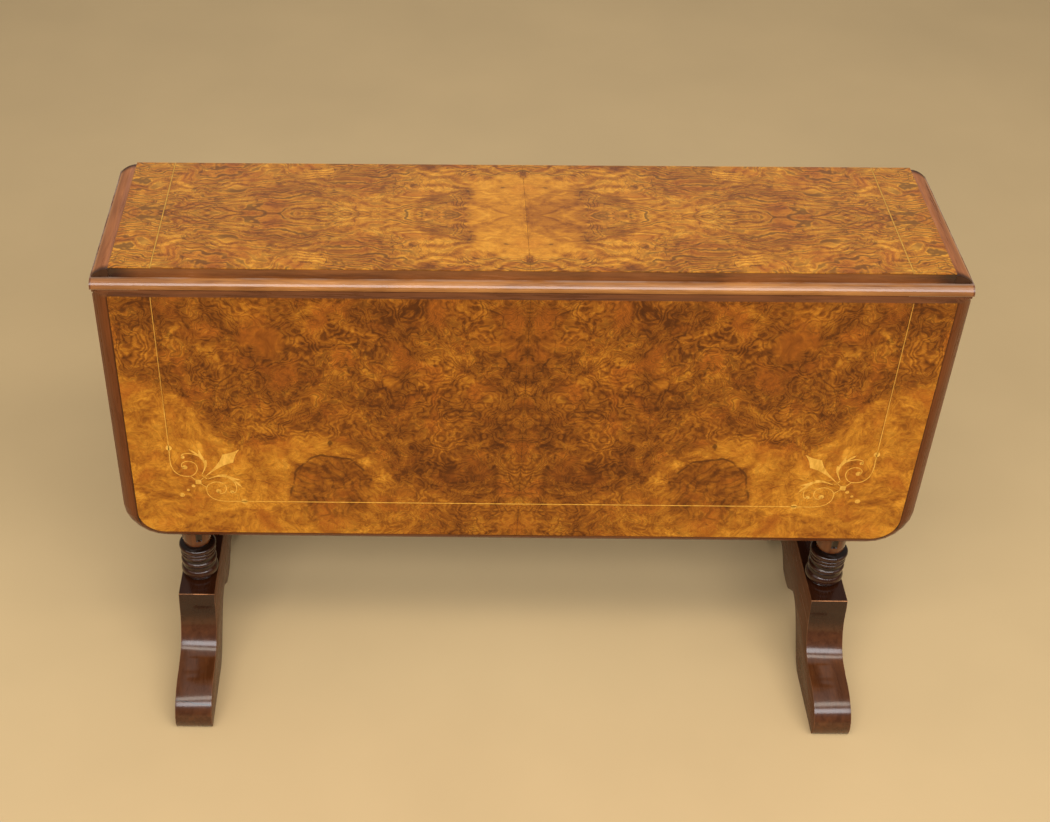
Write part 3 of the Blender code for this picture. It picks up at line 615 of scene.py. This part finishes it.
def leaf_wood():
    """Walnut of the leaf boards: dark red edge moulding, browner lip under the joint, plain back, painted
    shade in the crease along the veneer.
    """
    graph = Graph("walnut_leaf")
    x, y, z = graph.split(graph.place())
    away = graph.math("ABSOLUTE", x)
    upright = graph.remap(away, FACE_HALF - 0.0002, FACE_HALF + 0.0002)
    tone = graph.total((grain(graph, "X"), graph.math("SUBTRACT", 1.0, upright)),
                       (grain(graph, "Z"), upright))
    edge = streaked(graph, tone, (0.088, 0.0230, 0.0055), (0.170, 0.0470, 0.0105))
    lip = streaked(graph, tone, (0.060, 0.0200, 0.0080), (0.180, 0.0620, 0.0190))
    colour = graph.mix(graph.remap(z, LEAF_TOP - 0.004, LEAF_TOP - 0.001), edge, lip)
    # Painted shade in the crease where the moulding meets the veneer
    crease = graph.most(graph.near(away, FACE_HALF, LEAF_CREASE), graph.near(z, FACE_LOW, LEAF_CREASE))
    on_face = graph.remap(graph.math("ABSOLUTE", y), LEAF_FACE - 0.005, LEAF_FACE - 0.003)
    crease = graph.product(crease, graph.remap(z, LEAF_TOP - 0.001, LEAF_TOP - 0.003), on_face)
    colour = graph.mix(graph.product(crease, 0.9), colour, CREASE_SHADE)
    polish(graph, colour, tone, 0.28, 0.12)
    return graph.material


def boxwood():
    """Pale inlay, duller on the upper part of the leaves and on the top."""
    graph = Graph("boxwood_inlay")
    fibre = graph.noise(graph.vector("MULTIPLY", graph.place(), (1.0, 1.0, 0.4)), 260.0, 3.0)
    colour = graph.ramp(fibre, [(0.3, (0.56, 0.265, 0.030)), (0.7, (0.78, 0.425, 0.070))])
    dull = graph.remap(graph.split(graph.place())[2], *DULL_FADE, 0.0, 0.32)
    polish(graph, graph.mix(dull, colour, DULL_BOXWOOD), fibre, 0.32)
    return graph.material


def aged_brass():
    """Stained brass of the hinges, pins and screws."""
    graph = Graph("aged_brass_plates")
    stain = graph.noise(graph.place(), 90.0, 4.0, 0.6)
    graph.set(Base_Color=graph.ramp(stain, [(0.35, (0.20, 0.12, 0.04)), (0.65, (0.50, 0.34, 0.12))]))
    graph.set(Metallic=1.0, Roughness=graph.remap(stain, 0.3, 0.7, 0.50, 0.30))
    graph.bump(stain, 0.1, 0.0003)
    return graph.material


BURR_LEAF = leaf_burr()
BURR_TOP = top_burr()
END_WOOD = end_wood()
BOARD_WOOD = board_wood()
LEAF_WOOD = leaf_wood()
BASE_TONES = [(0.032, 0.0080, 0.0027), (0.052, 0.0140, 0.0042), (0.088, 0.0255, 0.0070)]
FOOT_TONES = [(0.046, 0.0130, 0.0034), (0.072, 0.0215, 0.0056), (0.115, 0.0360, 0.0094)]
# Foot sides: lighter and warmer than FOOT_TONES, a painted reflection of the floor
SIDE_REFLECTED_TONES = [(0.076, 0.0220, 0.0065), (0.105, 0.0320, 0.0095), (0.138, 0.0440, 0.0130)]
TURNED_TONES = [(0.020, 0.0050, 0.0018), (0.034, 0.0090, 0.0028), (0.058, 0.0165, 0.0046)]
BASE = {axis: base_wood(f"stained_walnut_{axis.lower()}", axis, 0.20, BASE_TONES) for axis in "XY"}
COLUMN_WOOD = base_wood("stained_walnut_turned", "Z", 0.10, TURNED_TONES, 0.20, 0.7)
FOOT_WOOD = base_wood("stained_walnut_foot", "Y", 0.10, FOOT_TONES, 0.28, 0.80, of_foot=True)
FOOT_SIDE = base_wood("stained_walnut_foot_side", "Y", 0.05, SIDE_REFLECTED_TONES)
BOXWOOD = boxwood()
BRASS = aged_brass()


def arc(centre, radii, start, end, steps):
    """Points of an elliptic arc, angles in degrees."""
    points = []
    for i in range(steps + 1):
        angle = radians(start + (end - start) * i / steps)
        points.append((centre[0] + radii[0] * cos(angle), centre[1] + radii[1] * sin(angle)))
    return points


def smooth_path(points, steps=8):
    """A Catmull-Rom curve through flat points."""
    knots = [points[0]] + list(points) + [points[-1]]
    path = []
    for a, b, c, d in zip(knots, knots[1:], knots[2:], knots[3:]):
        for i in range(steps):
            t = i / steps
            path.append(tuple(0.5 * (2 * q + (r - p) * t + (2 * p - 5 * q + 4 * r - s) * t * t
                                     + (3 * q - p - 3 * r + s) * t ** 3) for p, q, r, s in zip(a, b, c, d)))
    return path + [points[-1]]


def finished(name, bm, finishes, body, stands_for=(), smooth=None):
    """The bmesh as a named piece that rides on a body and takes the place of CAD nodes."""
    bmesh.ops.recalc_face_normals(bm, faces=bm.faces)
    mesh = bpy.data.meshes.new(name)
    bm.to_mesh(mesh)
    bm.free()
    for finish in finishes:
        mesh.materials.append(finish)
    if smooth:
        mesh.shade_smooth()
        mesh.set_sharp_from_angle(angle=radians(smooth))
    made = bpy.data.objects.new(name, mesh)
    bpy.context.scene.collection.objects.link(made)
    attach(made, body)
    if stands_for:
        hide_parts(*stands_for)


def skin(bm, rows):
    """Faces of a closed form through rings of vertices: its sides and both caps."""
    for near, far in zip(rows, rows[1:]):
        for i in range(len(near)):
            j = (i + 1) % len(near)
            bm.faces.new((near[i], near[j], far[j], far[i]))
    bm.faces.new(rows[0])
    bm.faces.new(rows[-1])


def prism(bm, outline, low, high):
    """A closed flat plate on the front leaf: an (x, z) outline between two distances out from the middle."""
    skin(bm, [[bm.verts.new((x, -out, z)) for x, z in outline] for out in (low, high)])


def ribbon(bm, path, width, low, high):
    """A line of inlay along a flat path on the front leaf: one closed strip of rectangular section."""
    rows = []
    for i, (x, z) in enumerate(path):
        ahead = path[min(i + 1, len(path) - 1)]
        behind = path[max(i - 1, 0)]
        dx, dz = ahead[0] - behind[0], ahead[1] - behind[1]
        share = width / 2 / hypot(dx, dz)
        corners = ((-share, low), (share, low), (share, high), (-share, high))
        rows.append([bm.verts.new((x + dz * aside, -out, z - dx * aside)) for aside, out in corners])
    skin(bm, rows)


def leaf_side(bm, end):
    """Turns geometry made for the front leaf to the rear leaf."""
    if end == "rear":
        bmesh.ops.rotate(bm, verts=bm.verts, cent=(0, 0, 0), matrix=Matrix.Rotation(pi, 3, "Z"))


def leaf_face(end):
    """The two book-matched sheets of a leaf, each in one piece out to the moulding."""
    bm = bmesh.new()
    for side in (-1, 1):
        outline = [(SEAM, LEAF_TOP), (SEAM, FACE_LOW)]
        corner = (FACE_HALF - FACE_CORNER, FACE_LOW + FACE_CORNER)
        outline += arc(corner, (FACE_CORNER,) * 2, 270, 360, 12)
        outline.append((FACE_HALF, LEAF_TOP))
        prism(bm, [(side * x, z) for x, z in outline], LEAF_FACE - VENEER_THICK, LEAF_FACE)
    leaf_side(bm, end)
    stands_for = [f"{end}_leaf_{kind}_{hand}" for kind in ("veneer", "band") for hand in ("left", "right")]
    stands_for.append(f"{end}_leaf_band_bottom")
    finished(f"{end}_leaf_face", bm, [BURR_LEAF], f"{end}_leaf_body", stands_for)


def leaf_shade_filler(end):
    """A filler along a leaf's hollow edge that closes the open gap under the quarter-round of the top, so
    that the joint shows shade instead of the floor.
    """
    bm = bmesh.new()
    first, last = FILLER_ARC
    inner = arc((0, 0), (OVOLO + FILLER_GAP,) * 2, first, last, 6)
    outer = arc((0, 0), (OVOLO + FILLER_OUTER,) * 2, last, first, 6)
    section = [(-AXIS_Y - out, UNDERSIDE + up) for out, up in inner + outer]
    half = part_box(f"{end}_leaf")[1].x - FILLER_GAP
    skin(bm, [[bm.verts.new((x, y, z)) for y, z in section] for x in (-half, half)])
    leaf_side(bm, end)
    finished(f"{end}_leaf_shade_filler", bm, [LEAF_WOOD], f"{end}_leaf_body")


# The corner ornament, in metres inward and upward from its square; a shape on one side of the diagonal has a
# twin on the other
SCROLL = [(0.0560, -0.0322), (0.0512, -0.0323), (0.0439, -0.0323), (0.0355, -0.0325), (0.0275, -0.0318),
          (0.0190, -0.0293), (0.0135, -0.0249), (0.0103, -0.0195), (0.0095, -0.0140), (0.0098, -0.0090),
          (0.0126, -0.0044), (0.0175, -0.0010), (0.0233, 0.0004), (0.0294, -0.0010), (0.0334, -0.0052),
          (0.0344, -0.0103), (0.0330, -0.0155), (0.0293, -0.0188), (0.0253, -0.0185), (0.0232, -0.0160)]
SPRAY = [(0.0114, 0.0050), (0.0158, 0.0074), (0.0208, 0.0099), (0.0258, 0.0122), (0.0302, 0.0132),
         (0.0346, 0.0132), (0.0374, 0.0123), (0.0356, 0.0108), (0.0388, 0.0103), (0.0424, 0.0090),
         (0.0460, 0.0073), (0.0496, 0.0060), (0.0540, 0.0038), (0.0490, 0.0040), (0.0458, 0.0035),
         (0.0497, 0.0000), (0.0522, -0.0035), (0.0546, -0.0082), (0.0507, -0.0055), (0.0478, -0.0018),
         (0.0440, 0.0018), (0.0405, 0.0050), (0.0362, 0.0078), (0.0315, 0.0090), (0.0265, 0.0094),
         (0.0215, 0.0084), (0.0175, 0.0070), (0.0140, 0.0055)]
STEM = [(0.0432, 0.0026), (0.0455, -0.0008), (0.0470, -0.0054), (0.0474, -0.0105), (0.0460, -0.0158),
        (0.0436, -0.0178), (0.0412, -0.0165)]
SPEAR_SIDE = [(0.0083, 0.0083), (0.0128, 0.0118), (0.0180, 0.0166), (0.0238, 0.0214), (0.0300, 0.0258),
              (0.0365, 0.0296), (0.0425, 0.0322), (0.0461, 0.0332), (0.0470, 0.0377), (0.0484, 0.0428),
              (0.0508, 0.0482), (0.0547, 0.0547)]
BAR = [(0.0058, 0.0113), (0.0080, 0.0080), (0.0113, 0.0058)]
SQUARE_HALF = 0.0037
SQUARE_TIE = 0.8 * SQUARE_HALF
SCROLL_STALK = [(SQUARE_TIE, -SQUARE_TIE), (0.0062, -0.0060), (0.0098, -0.0092)]
SPEAR_STALK = [(SQUARE_TIE, SQUARE_TIE), (0.006, 0.006), (0.0088, 0.0088)]
# Sides of a dot, and dots on the diagonal with their radii
DOT_SIDES = 24
DOTS = [(-0.0067, 0.0024), (-0.0137, 0.0019), (-0.0222, 0.0034)]
BEAD_PLACE = (0.0560, -0.0322)
# Round ends of the scrolls, of the spray stems and of the strings, with their radii
BALLS = [((0.0244, -0.0150), 0.0033), ((0.0412, -0.0162), 0.0025), (BEAD_PLACE, 0.0039)]


def disc(bm, centre, radius, low, high):
    """A round dot of inlay."""
    prism(bm, arc(centre, (radius, radius), 0, 360 - 360 / DOT_SIDES, DOT_SIDES - 1), low, high)


def corner_ornament(bm, place, side, low, high):
    """Scrolls, sprays, spearhead and dots about the square at one lower corner of a leaf."""
    def put(a, b):
        return place[0] - side * a, place[1] + b

    def twins(points):
        return ([put(a, b) for a, b in points], [put(b, a) for a, b in points])

    for path in twins(smooth_path(SCROLL)) + twins(smooth_path(STEM)):
        ribbon(bm, path, SCROLL_WIDTH, low, high)
    for outline in twins(SPRAY):
        prism(bm, outline, low, high)
    spear = SPEAR_SIDE + [(b, a) for a, b in reversed(SPEAR_SIDE[1:-1])]
    prism(bm, [put(a, b) for a, b in spear], low, high)
    for centre, radius in BALLS:
        disc(bm, put(*centre), radius, low, high)
        disc(bm, put(*reversed(centre)), radius, low, high)
    for offset, radius in DOTS:
        disc(bm, put(offset, offset), radius, low, high)
    edge = SQUARE_HALF
    prism(bm, [put(edge, edge), put(-edge, edge), put(-edge, -edge), put(edge, -edge)], low, high)
    for path in twins(SCROLL_STALK):
        ribbon(bm, path, SCROLL_WIDTH, low, high)
    for path in (SPEAR_STALK, BAR):
        ribbon(bm, [put(a, b) for a, b in path], SCROLL_WIDTH, low, high)


def leaf_inlay(end):
    """Stringing of a leaf with its end beads and the two corner ornaments."""
    bm = bmesh.new()
    low, high = LEAF_FACE - VENEER_THICK / 2, LEAF_FACE + INLAY_PROUD
    square_x = STRING_X - SQUARE_INSET
    square_z = STRING_Z + SQUARE_RISE
    along, aside = BEAD_PLACE
    for side in (-1, 1):
        corner_ornament(bm, (side * square_x, square_z), side, low, high)
        x = side * (square_x - aside)
        rise = [(x, square_z + along), (x, (square_z + LEAF_TOP) / 2), (x, LEAF_TOP)]
        ribbon(bm, rise, SIDE_STRING_WIDTH, low, high)
    end_x = square_x - along
    z = square_z + aside
    ribbon(bm, [(-end_x, z), (0, z), (end_x, z)], STRING_WIDTH, low, high)
    leaf_side(bm, end)
    stands_for = [f"{end}_leaf_string_{hand}" for hand in ("left", "right", "bottom")]
    finished(f"{end}_leaf_inlay", bm, [BOXWOOD], f"{end}_leaf_body", stands_for)


def hinge_screws(end):
    """Slotted screw heads on the leaf plates of the hinges."""
    bm = bmesh.new()
    for hand in ("left", "right"):
        low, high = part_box(f"front_hinge_{hand}_leaf_plate")
        for along, up in SCREW_PLACES:
            centre = (low.x + (high.x - low.x) * along, low.z + (high.z - low.z) * up)
            for half in (0, 180):
                outline = arc(centre, (SCREW_RADIUS,) * 2, half + SCREW_SLOT, half + 180 - SCREW_SLOT, 10)
                prism(bm, outline, -high.y - SCREW_PROUD, -high.y + SCREW_PROUD)
    leaf_side(bm, end)
    finished(f"{end}_hinge_screws", bm, [BRASS], f"{end}_leaf_body")


def lathe(profile, sides, carve=None):
    """A closed turned form about Z from a (radius, z, darkening) profile, bottom to top; the darkening, full
    in carved flutes, is dirt and painted shade.

    carve gives the depth that is cut away at (angle, z).
    """
    bm = bmesh.new()
    groove = bm.verts.layers.float.new("groove")
    rows = []
    for radius, z, darkening in profile:
        row = []
        for i in range(sides):
            angle = 2 * pi * i / sides
            depth = carve(angle, z) if carve else 0.0
            vert = bm.verts.new(((radius - depth) * cos(angle), (radius - depth) * sin(angle), z))
            vert[groove] = 1.0 if depth else darkening
            row.append(vert)
        rows.append(row)
    skin(bm, rows)
    return bm


def bulge(reach, low, tall, start, end, steps):
    """Rings of a rounded moulding that reaches out to a radius."""
    rounded = arc((reach - tall / 2, low + tall / 2), (tall / 2,) * 2, start, end, steps)
    return [(radius, z, 0.0) for radius, z in rounded]


def column_rings():
    """The mouldings at one end of a column, (radius, distance from that end, darkening by dirt and painted
    shade).
    """
    rings = [(TORUS_RADIUS - TORUS_TALL / 4, 0.0, 0.9)] + bulge(TORUS_RADIUS, 0.0, TORUS_TALL, -65, 52, 14)
    z = TORUS_TALL
    rings += [(WAIST_RADIUS - QUIRK, z - QUIRK, 0.9), (WAIST_RADIUS + QUIRK / 2, z, 0.6),
              (WAIST_RADIUS, z + COVE_TALL * 0.4, 0.5), (WAIST_RADIUS, z + COVE_TALL - QUIRK, 0.7),
              (WAIST_RADIUS - QUIRK, z + COVE_TALL, 0.9)]
    z += COVE_TALL
    rings += bulge(BEAD_RADIUS, z, BEAD_TALL, -66, 66, 10)
    z += BEAD_TALL
    rings += [(WAIST_RADIUS - QUIRK, z, 0.9), (WAIST_RADIUS - 2 * QUIRK, z + FINE_LEAD * 0.5, 0.8)]
    z += FINE_LEAD
    for i in range(FINE_COUNT):
        rings.append((WAIST_RADIUS - QUIRK, z + FINE_PITCH * i, 0.9))
        fine = arc((WAIST_RADIUS, z + FINE_PITCH * (i + 0.5)), (FINE_RING, FINE_PITCH * 0.42), -80, 80, 7)
        rings += [(radius, height, 0.0) for radius, height in fine]
    z += FINE_PITCH * FINE_COUNT
    rings.append((WAIST_RADIUS - QUIRK, z, 0.9))
    rings += bulge(COLLAR_RADIUS, z, COLLAR_TALL, -62, 44, 9)
    # The collar's upper surface: dirt and painted shade
    rings += [(radius, height, 0.95) for radius, height, _ in bulge(COLLAR_RADIUS, z, COLLAR_TALL, 56, 75, 2)]
    z += COLLAR_TALL
    neck = SHAFT_RADIUS - COVE_DEPTH
    rings += [(neck, z + NECK_TALL * 0.2, 1.0), (neck, z + NECK_TALL * 0.6, 0.9)]
    rings.append((SHAFT_RADIUS, z + NECK_TALL, 0.1))
    return rings


def column(hand, side, row, back):
    """A turned column with rings at both ends and flutes cut along its shaft."""
    low = BLOCK_HEIGHT + SEAT_GAP
    high = BEARER_LOW - SEAT_GAP
    rings = column_rings()
    turn = FLUTE_TURN.get((hand, row), 0.0)
    cut_low = low + rings[-1][1] + FLUTE_CLEAR
    cut_high = high - rings[-1][1] - FLUTE_CLEAR

    def flute(angle, z):
        quarter = 2 * pi / FLUTES
        turned = (angle - turn + quarter / 2) % quarter - quarter / 2
        across = abs(turned * SHAFT_RADIUS / FLUTE_HALF)
        inside = min(z - cut_low, cut_high - z) / FLUTE_HALF
        if across >= 1 or inside <= 0:
            return 0.0
        return FLUTE_DEPTH * min(1.0, FLUTE_WALL * (1 - across)) * min(1.0, FLUTE_RUNOUT * inside)

    ends = [cut_low - FLUTE_LIP] + [cut_low + FLUTE_HALF * share for share in (0.0, 0.125, 0.25, 1.0)]
    length = cut_high - cut_low - 2 * FLUTE_END
    middle = [cut_low + FLUTE_END + length * i / FLUTE_STEPS for i in range(FLUTE_STEPS + 1)]
    shaft = ends + middle + [cut_low + cut_high - z for z in reversed(ends)]
    profile = [(radius, low + z, darkening) for radius, z, darkening in rings]
    profile += [(SHAFT_RADIUS, z, 0.0) for z in shaft]
    profile += [(radius, high - z, darkening) for radius, z, darkening in reversed(rings)]
    bm = lathe(profile, COLUMN_SIDES, flute)
    pale = bm.verts.layers.float.new("pale")
    pale_low = cut_low - FLUTE_CLEAR - QUIRK
    pale_high = cut_high + FLUTE_CLEAR + QUIRK
    for vert in bm.verts:
        vert[pale] = 1.0 if pale_low < vert.co.z < pale_high else 0.0
    bmesh.ops.translate(bm, verts=bm.verts, vec=(side * FOOT_X, back * COLUMN_Y, 0))
    name = f"{hand}_{row}_column"
    finished(f"{name}_turned", bm, [COLUMN_WOOD], "table_frame", [name], TURNED_SMOOTH)


def stretcher():
    """The turned stretcher: a collar at each end, a ring group midway."""
    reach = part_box("right_cross_rail")[0].x - SEAT_GAP
    ring = STRETCHER_RING
    half = [(radius, reach - z, darkening) for radius, z, darkening in bulge(STRETCHER_COLLAR, 0.0, ring, -80, 80, 14)]
    # The quirk by the collar: dirt and painted shade
    half.append((STRETCHER_RADIUS - STRETCHER_SWELL, reach - 1.25 * ring, 0.9))
    for share, swell in STRETCHER_CURVE:
        z = reach - 2 * ring + (5 * ring - reach) * share
        half.append((STRETCHER_RADIUS + swell * STRETCHER_SWELL, z, 0.0))
    half.append((STRETCHER_RADIUS, 2.2 * ring, 0.8))
    half += bulge(STRETCHER_COLLAR, 1.1 * ring, ring, 75, -75, 14)
    half.append((STRETCHER_RADIUS, ring, 0.9))
    half += [(radius, z, 0.0) for radius, z in arc((STRETCHER_RADIUS, 0), (ring / 2, ring), 70, 0, 10)]
    profile = [(radius, -z, darkening) for radius, z, darkening in half] + list(reversed(half[:-1]))
    bm = lathe(profile, COLUMN_SIDES // 2)
    bmesh.ops.rotate(bm, verts=bm.verts, cent=(0, 0, 0), matrix=Matrix.Rotation(pi / 2, 3, "Y"))
    low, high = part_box("stretcher")
    bmesh.ops.translate(bm, verts=bm.verts, vec=(0, 0, (low.z + high.z) / 2))
    finishes = [BASE["X"]]
    finished("stretcher_turned", bm, finishes, "table_frame", ["stretcher"], TURNED_SMOOTH)


def foot_outline():
    """Closed (y, z) outline of a trestle foot: toe, instep and block, the same behind, shaped underside."""
    neck = TOE_LENGTH - BLOCK_LEAN
    cove_top = TOE_HEIGHT + INSTEP_RISE + COVE_HEIGHT
    upper = arc((TOE_PAD, TOE_NOSE), (TOE_PAD, TOE_NOSE), 270, 180, 8)
    upper += arc((TOE_ROUND, TOE_NOSE), (TOE_ROUND, TOE_HEIGHT - TOE_NOSE), 180, 90, 16)[1:]
    upper += arc((neck - COVE_REACH, cove_top), (COVE_REACH, COVE_HEIGHT), 270, 360, 18)
    upper.append((TOE_LENGTH, BLOCK_HEIGHT))
    drop_edge = FOOT_HALF - PENDANT_HALF - PENDANT_SHOULDER
    crown = drop_edge - CROWN_FLAT
    pad_end = TOE_LENGTH - ARCH_LEAD
    under = arc((FOOT_HALF, PENDANT_HEIGHT + PENDANT_SWELL), (PENDANT_HALF, PENDANT_SWELL), 270, 180, 8)
    under.append((drop_edge, ARCH_HEIGHT))
    for i in range(ARCH_STEPS + 1):
        q = 1 - i / ARCH_STEPS
        under.append((pad_end + (crown - pad_end) * q, ARCH_HEIGHT * (1 - cos(pi * q)) / 2))
    front = [(s - FOOT_HALF, z) for s, z in upper]
    below = [(s - FOOT_HALF, z) for s, z in under]
    return front + [(-y, z) for y, z in reversed(front)] + [(-y, z) for y, z in reversed(below)][:-1] + below


def foot(hand, side):
    """A trestle foot with softened edges, which carry the wear of the finish."""
    bm = bmesh.new()
    outline = foot_outline()
    half = FOOT_THICK / 2
    skin(bm, [[bm.verts.new((side * FOOT_X + across, y, z)) for y, z in outline] for across in (-half, half)])
    bmesh.ops.recalc_face_normals(bm, faces=bm.faces)
    worn = bm.faces.layers.float.new("wear")
    block_edge = FOOT_HALF - TOE_LENGTH
    sharp = [edge for edge in bm.edges if edge.calc_face_angle() > radians(FOOT_SHARP)]
    made = bmesh.ops.bevel(bm, geom=sharp, offset=FOOT_BEVEL, segments=2, profile=0.6, affect="EDGES")
    for face in made["faces"]:
        middle = face.calc_center_median()
        off_arris = max(abs(middle.z - BLOCK_HEIGHT), abs(abs(middle.y) - block_edge))
        face[worn] = 1.0 if off_arris < BLOCK_ARRIS else EDGE_WEAR
    for face in bm.faces:
        # Faces turned sideways take the foot side finish, with its painted reflection of the floor
        face.material_index = 1 if abs(face.normal.x) > SIDE_FACING else 0
    name = f"{hand}_foot"
    finishes = [FOOT_WOOD, FOOT_SIDE]
    finished(f"{name}_shaped", bm, finishes, "table_frame", [name], FOOT_SMOOTH)


# Ends of the names of the solids whose sharp edges are softened, how wide, and the angle that counts as sharp
SOFTENED = ("_rail", "_bearer")
ARRIS = 0.0006
ARRIS_ANGLE = 50


def dress_solids():
    """Finishes of the CAD nodes that stay."""
    for name, node in nodes.items():
        if name.startswith(("top_veneer", "top_band")):
            finish = BURR_TOP
        elif name.startswith("top_string"):
            finish = BOXWOOD
        elif name.startswith("top_end_moulding"):
            finish = END_WOOD
        elif name == "top_board":
            finish = BOARD_WOOD
        elif name in ("front_leaf", "rear_leaf"):
            finish = LEAF_WOOD
        elif "hinge" in name or name.endswith("_pin"):
            finish = BRASS
        elif name.endswith(("_bearer", "_cross_rail")):
            finish = BASE["Y"]
        else:
            finish = BASE["X"]
        node.data.materials.clear()
        node.data.materials.append(finish)
        if name.endswith(SOFTENED):
            soft = node.modifiers.new("soften", "BEVEL")
            soft.width = ARRIS
            soft.segments = 2
            soft.limit_method = "ANGLE"
            soft.angle_limit = radians(ARRIS_ANGLE)


FLOOR_REACH = 6.0
FLOOR_TONES = [(0.3, (0.565, 0.405, 0.205)), (0.7, (0.605, 0.435, 0.222))]


def floor():
    """A plain pale floor, faintly mottled."""
    graph = Graph("pale_floor")
    mottle = graph.noise(graph.place(), 3.0, 4.0)
    graph.set(Base_Color=graph.ramp(mottle, FLOOR_TONES))
    graph.set(Roughness=graph.remap(mottle, 0.3, 0.7, 0.7, 0.8))
    bm = bmesh.new()
    bmesh.ops.create_grid(bm, x_segments=1, y_segments=1, size=FLOOR_REACH)
    mesh = bpy.data.meshes.new("floor")
    bm.to_mesh(mesh)
    bm.free()
    mesh.materials.append(graph.material)
    made = bpy.data.objects.new("floor", mesh)
    bpy.context.scene.collection.objects.link(made)


# Soft studio light: colour and strength of the room, then lights as name, place, aim, size, watts and colour
ROOM_COLOUR = (1.0, 0.93, 0.84, 1.0)
ROOM_STRENGTH = 0.22
LIGHTS = [
    ("window", (0.2, -2.4, 2.55), (0, 0, 0.3), (4.4, 0.8), 95, (0.97, 0.98, 1.0)),
    ("lamp", (0.2, -1.45, 3.1), (0, 0, 0.3), (4.4, 0.55), 51, (1.0, 0.92, 0.80)),
    ("side", (-2.2, -1.4, 2.0), (0, 0, 0.4), (1.6, 1.6), 10, (1.0, 0.95, 0.88)),
    ("fill", (2.4, -1.0, 1.8), (0, 0, 0.4), (1.6, 1.6), 8, (1.0, 0.96, 0.90)),
    ("overhead", (0.0, 0.1, 3.2), (0, 0, 0.5), (3.0, 3.0), 14, (1.0, 0.98, 0.95)),
    ("back", (0.0, 2.6, 1.6), (0, 0, 0.6), (3.4, 1.8), 9, (0.95, 0.97, 1.0)),
]


def area_light(name, place, aim, size, power, colour):
    """A rectangular light that faces a point."""
    light = bpy.data.lights.new(name, "AREA")
    light.shape = "RECTANGLE"
    light.size, light.size_y = size
    light.energy = power
    light.color = colour
    made = bpy.data.objects.new(name, light)
    bpy.context.scene.collection.objects.link(made)
    made.location = place
    made.rotation_euler = (Vector(aim) - Vector(place)).to_track_quat("-Z", "Y").to_euler()


def studio():
    """The room's even light and the lights in it."""
    world = bpy.data.worlds.new("studio")
    world.use_nodes = True
    room = world.node_tree.nodes["Background"].inputs
    room["Color"].default_value = ROOM_COLOUR
    room["Strength"].default_value = ROOM_STRENGTH
    bpy.context.scene.world = world
    bpy.context.scene.view_settings.view_transform = "Standard"
    for light in LIGHTS:
        area_light(*light)


# The camera, fitted to the photograph's frame: pixels, metres, degrees and millimetres of sensor
IMAGE_WIDTH = 1050
IMAGE_HEIGHT = 822
FOCAL_PIXELS = 1589.68
PRINCIPAL = (403.66, 386.60)
CAMERA_PLACE = (-0.1190, -1.6166, 1.6928)
PITCH, ROLL, YAW = 38.753, -0.120, 1.007
SENSOR = 36.0


def camera():
    """The camera at the photograph's viewing angle."""
    lens = bpy.data.cameras.new("camera")
    lens.sensor_width = SENSOR
    lens.lens = FOCAL_PIXELS / IMAGE_WIDTH * SENSOR
    lens.shift_x = (IMAGE_WIDTH / 2 - PRINCIPAL[0]) / IMAGE_WIDTH
    lens.shift_y = (PRINCIPAL[1] - IMAGE_HEIGHT / 2) / IMAGE_WIDTH
    made = bpy.data.objects.new("camera", lens)
    bpy.context.scene.collection.objects.link(made)
    turn = Matrix.Rotation(radians(YAW), 4, "Z") @ Matrix.Rotation(radians(90 - PITCH), 4, "X")
    made.matrix_world = Matrix.Translation(CAMERA_PLACE) @ turn @ Matrix.Rotation(radians(ROLL), 4, "Z")
    bpy.context.scene.camera = made


dress_solids()
for leaf in ("front", "rear"):
    leaf_face(leaf)
    leaf_inlay(leaf)
    leaf_shade_filler(leaf)
    hinge_screws(leaf)
for hand, side in (("left", -1), ("right", 1)):
    foot(hand, side)
    for row, back in (("front", -1), ("rear", 1)):
        column(hand, side, row, back)
stretcher()
floor()
studio()
camera()
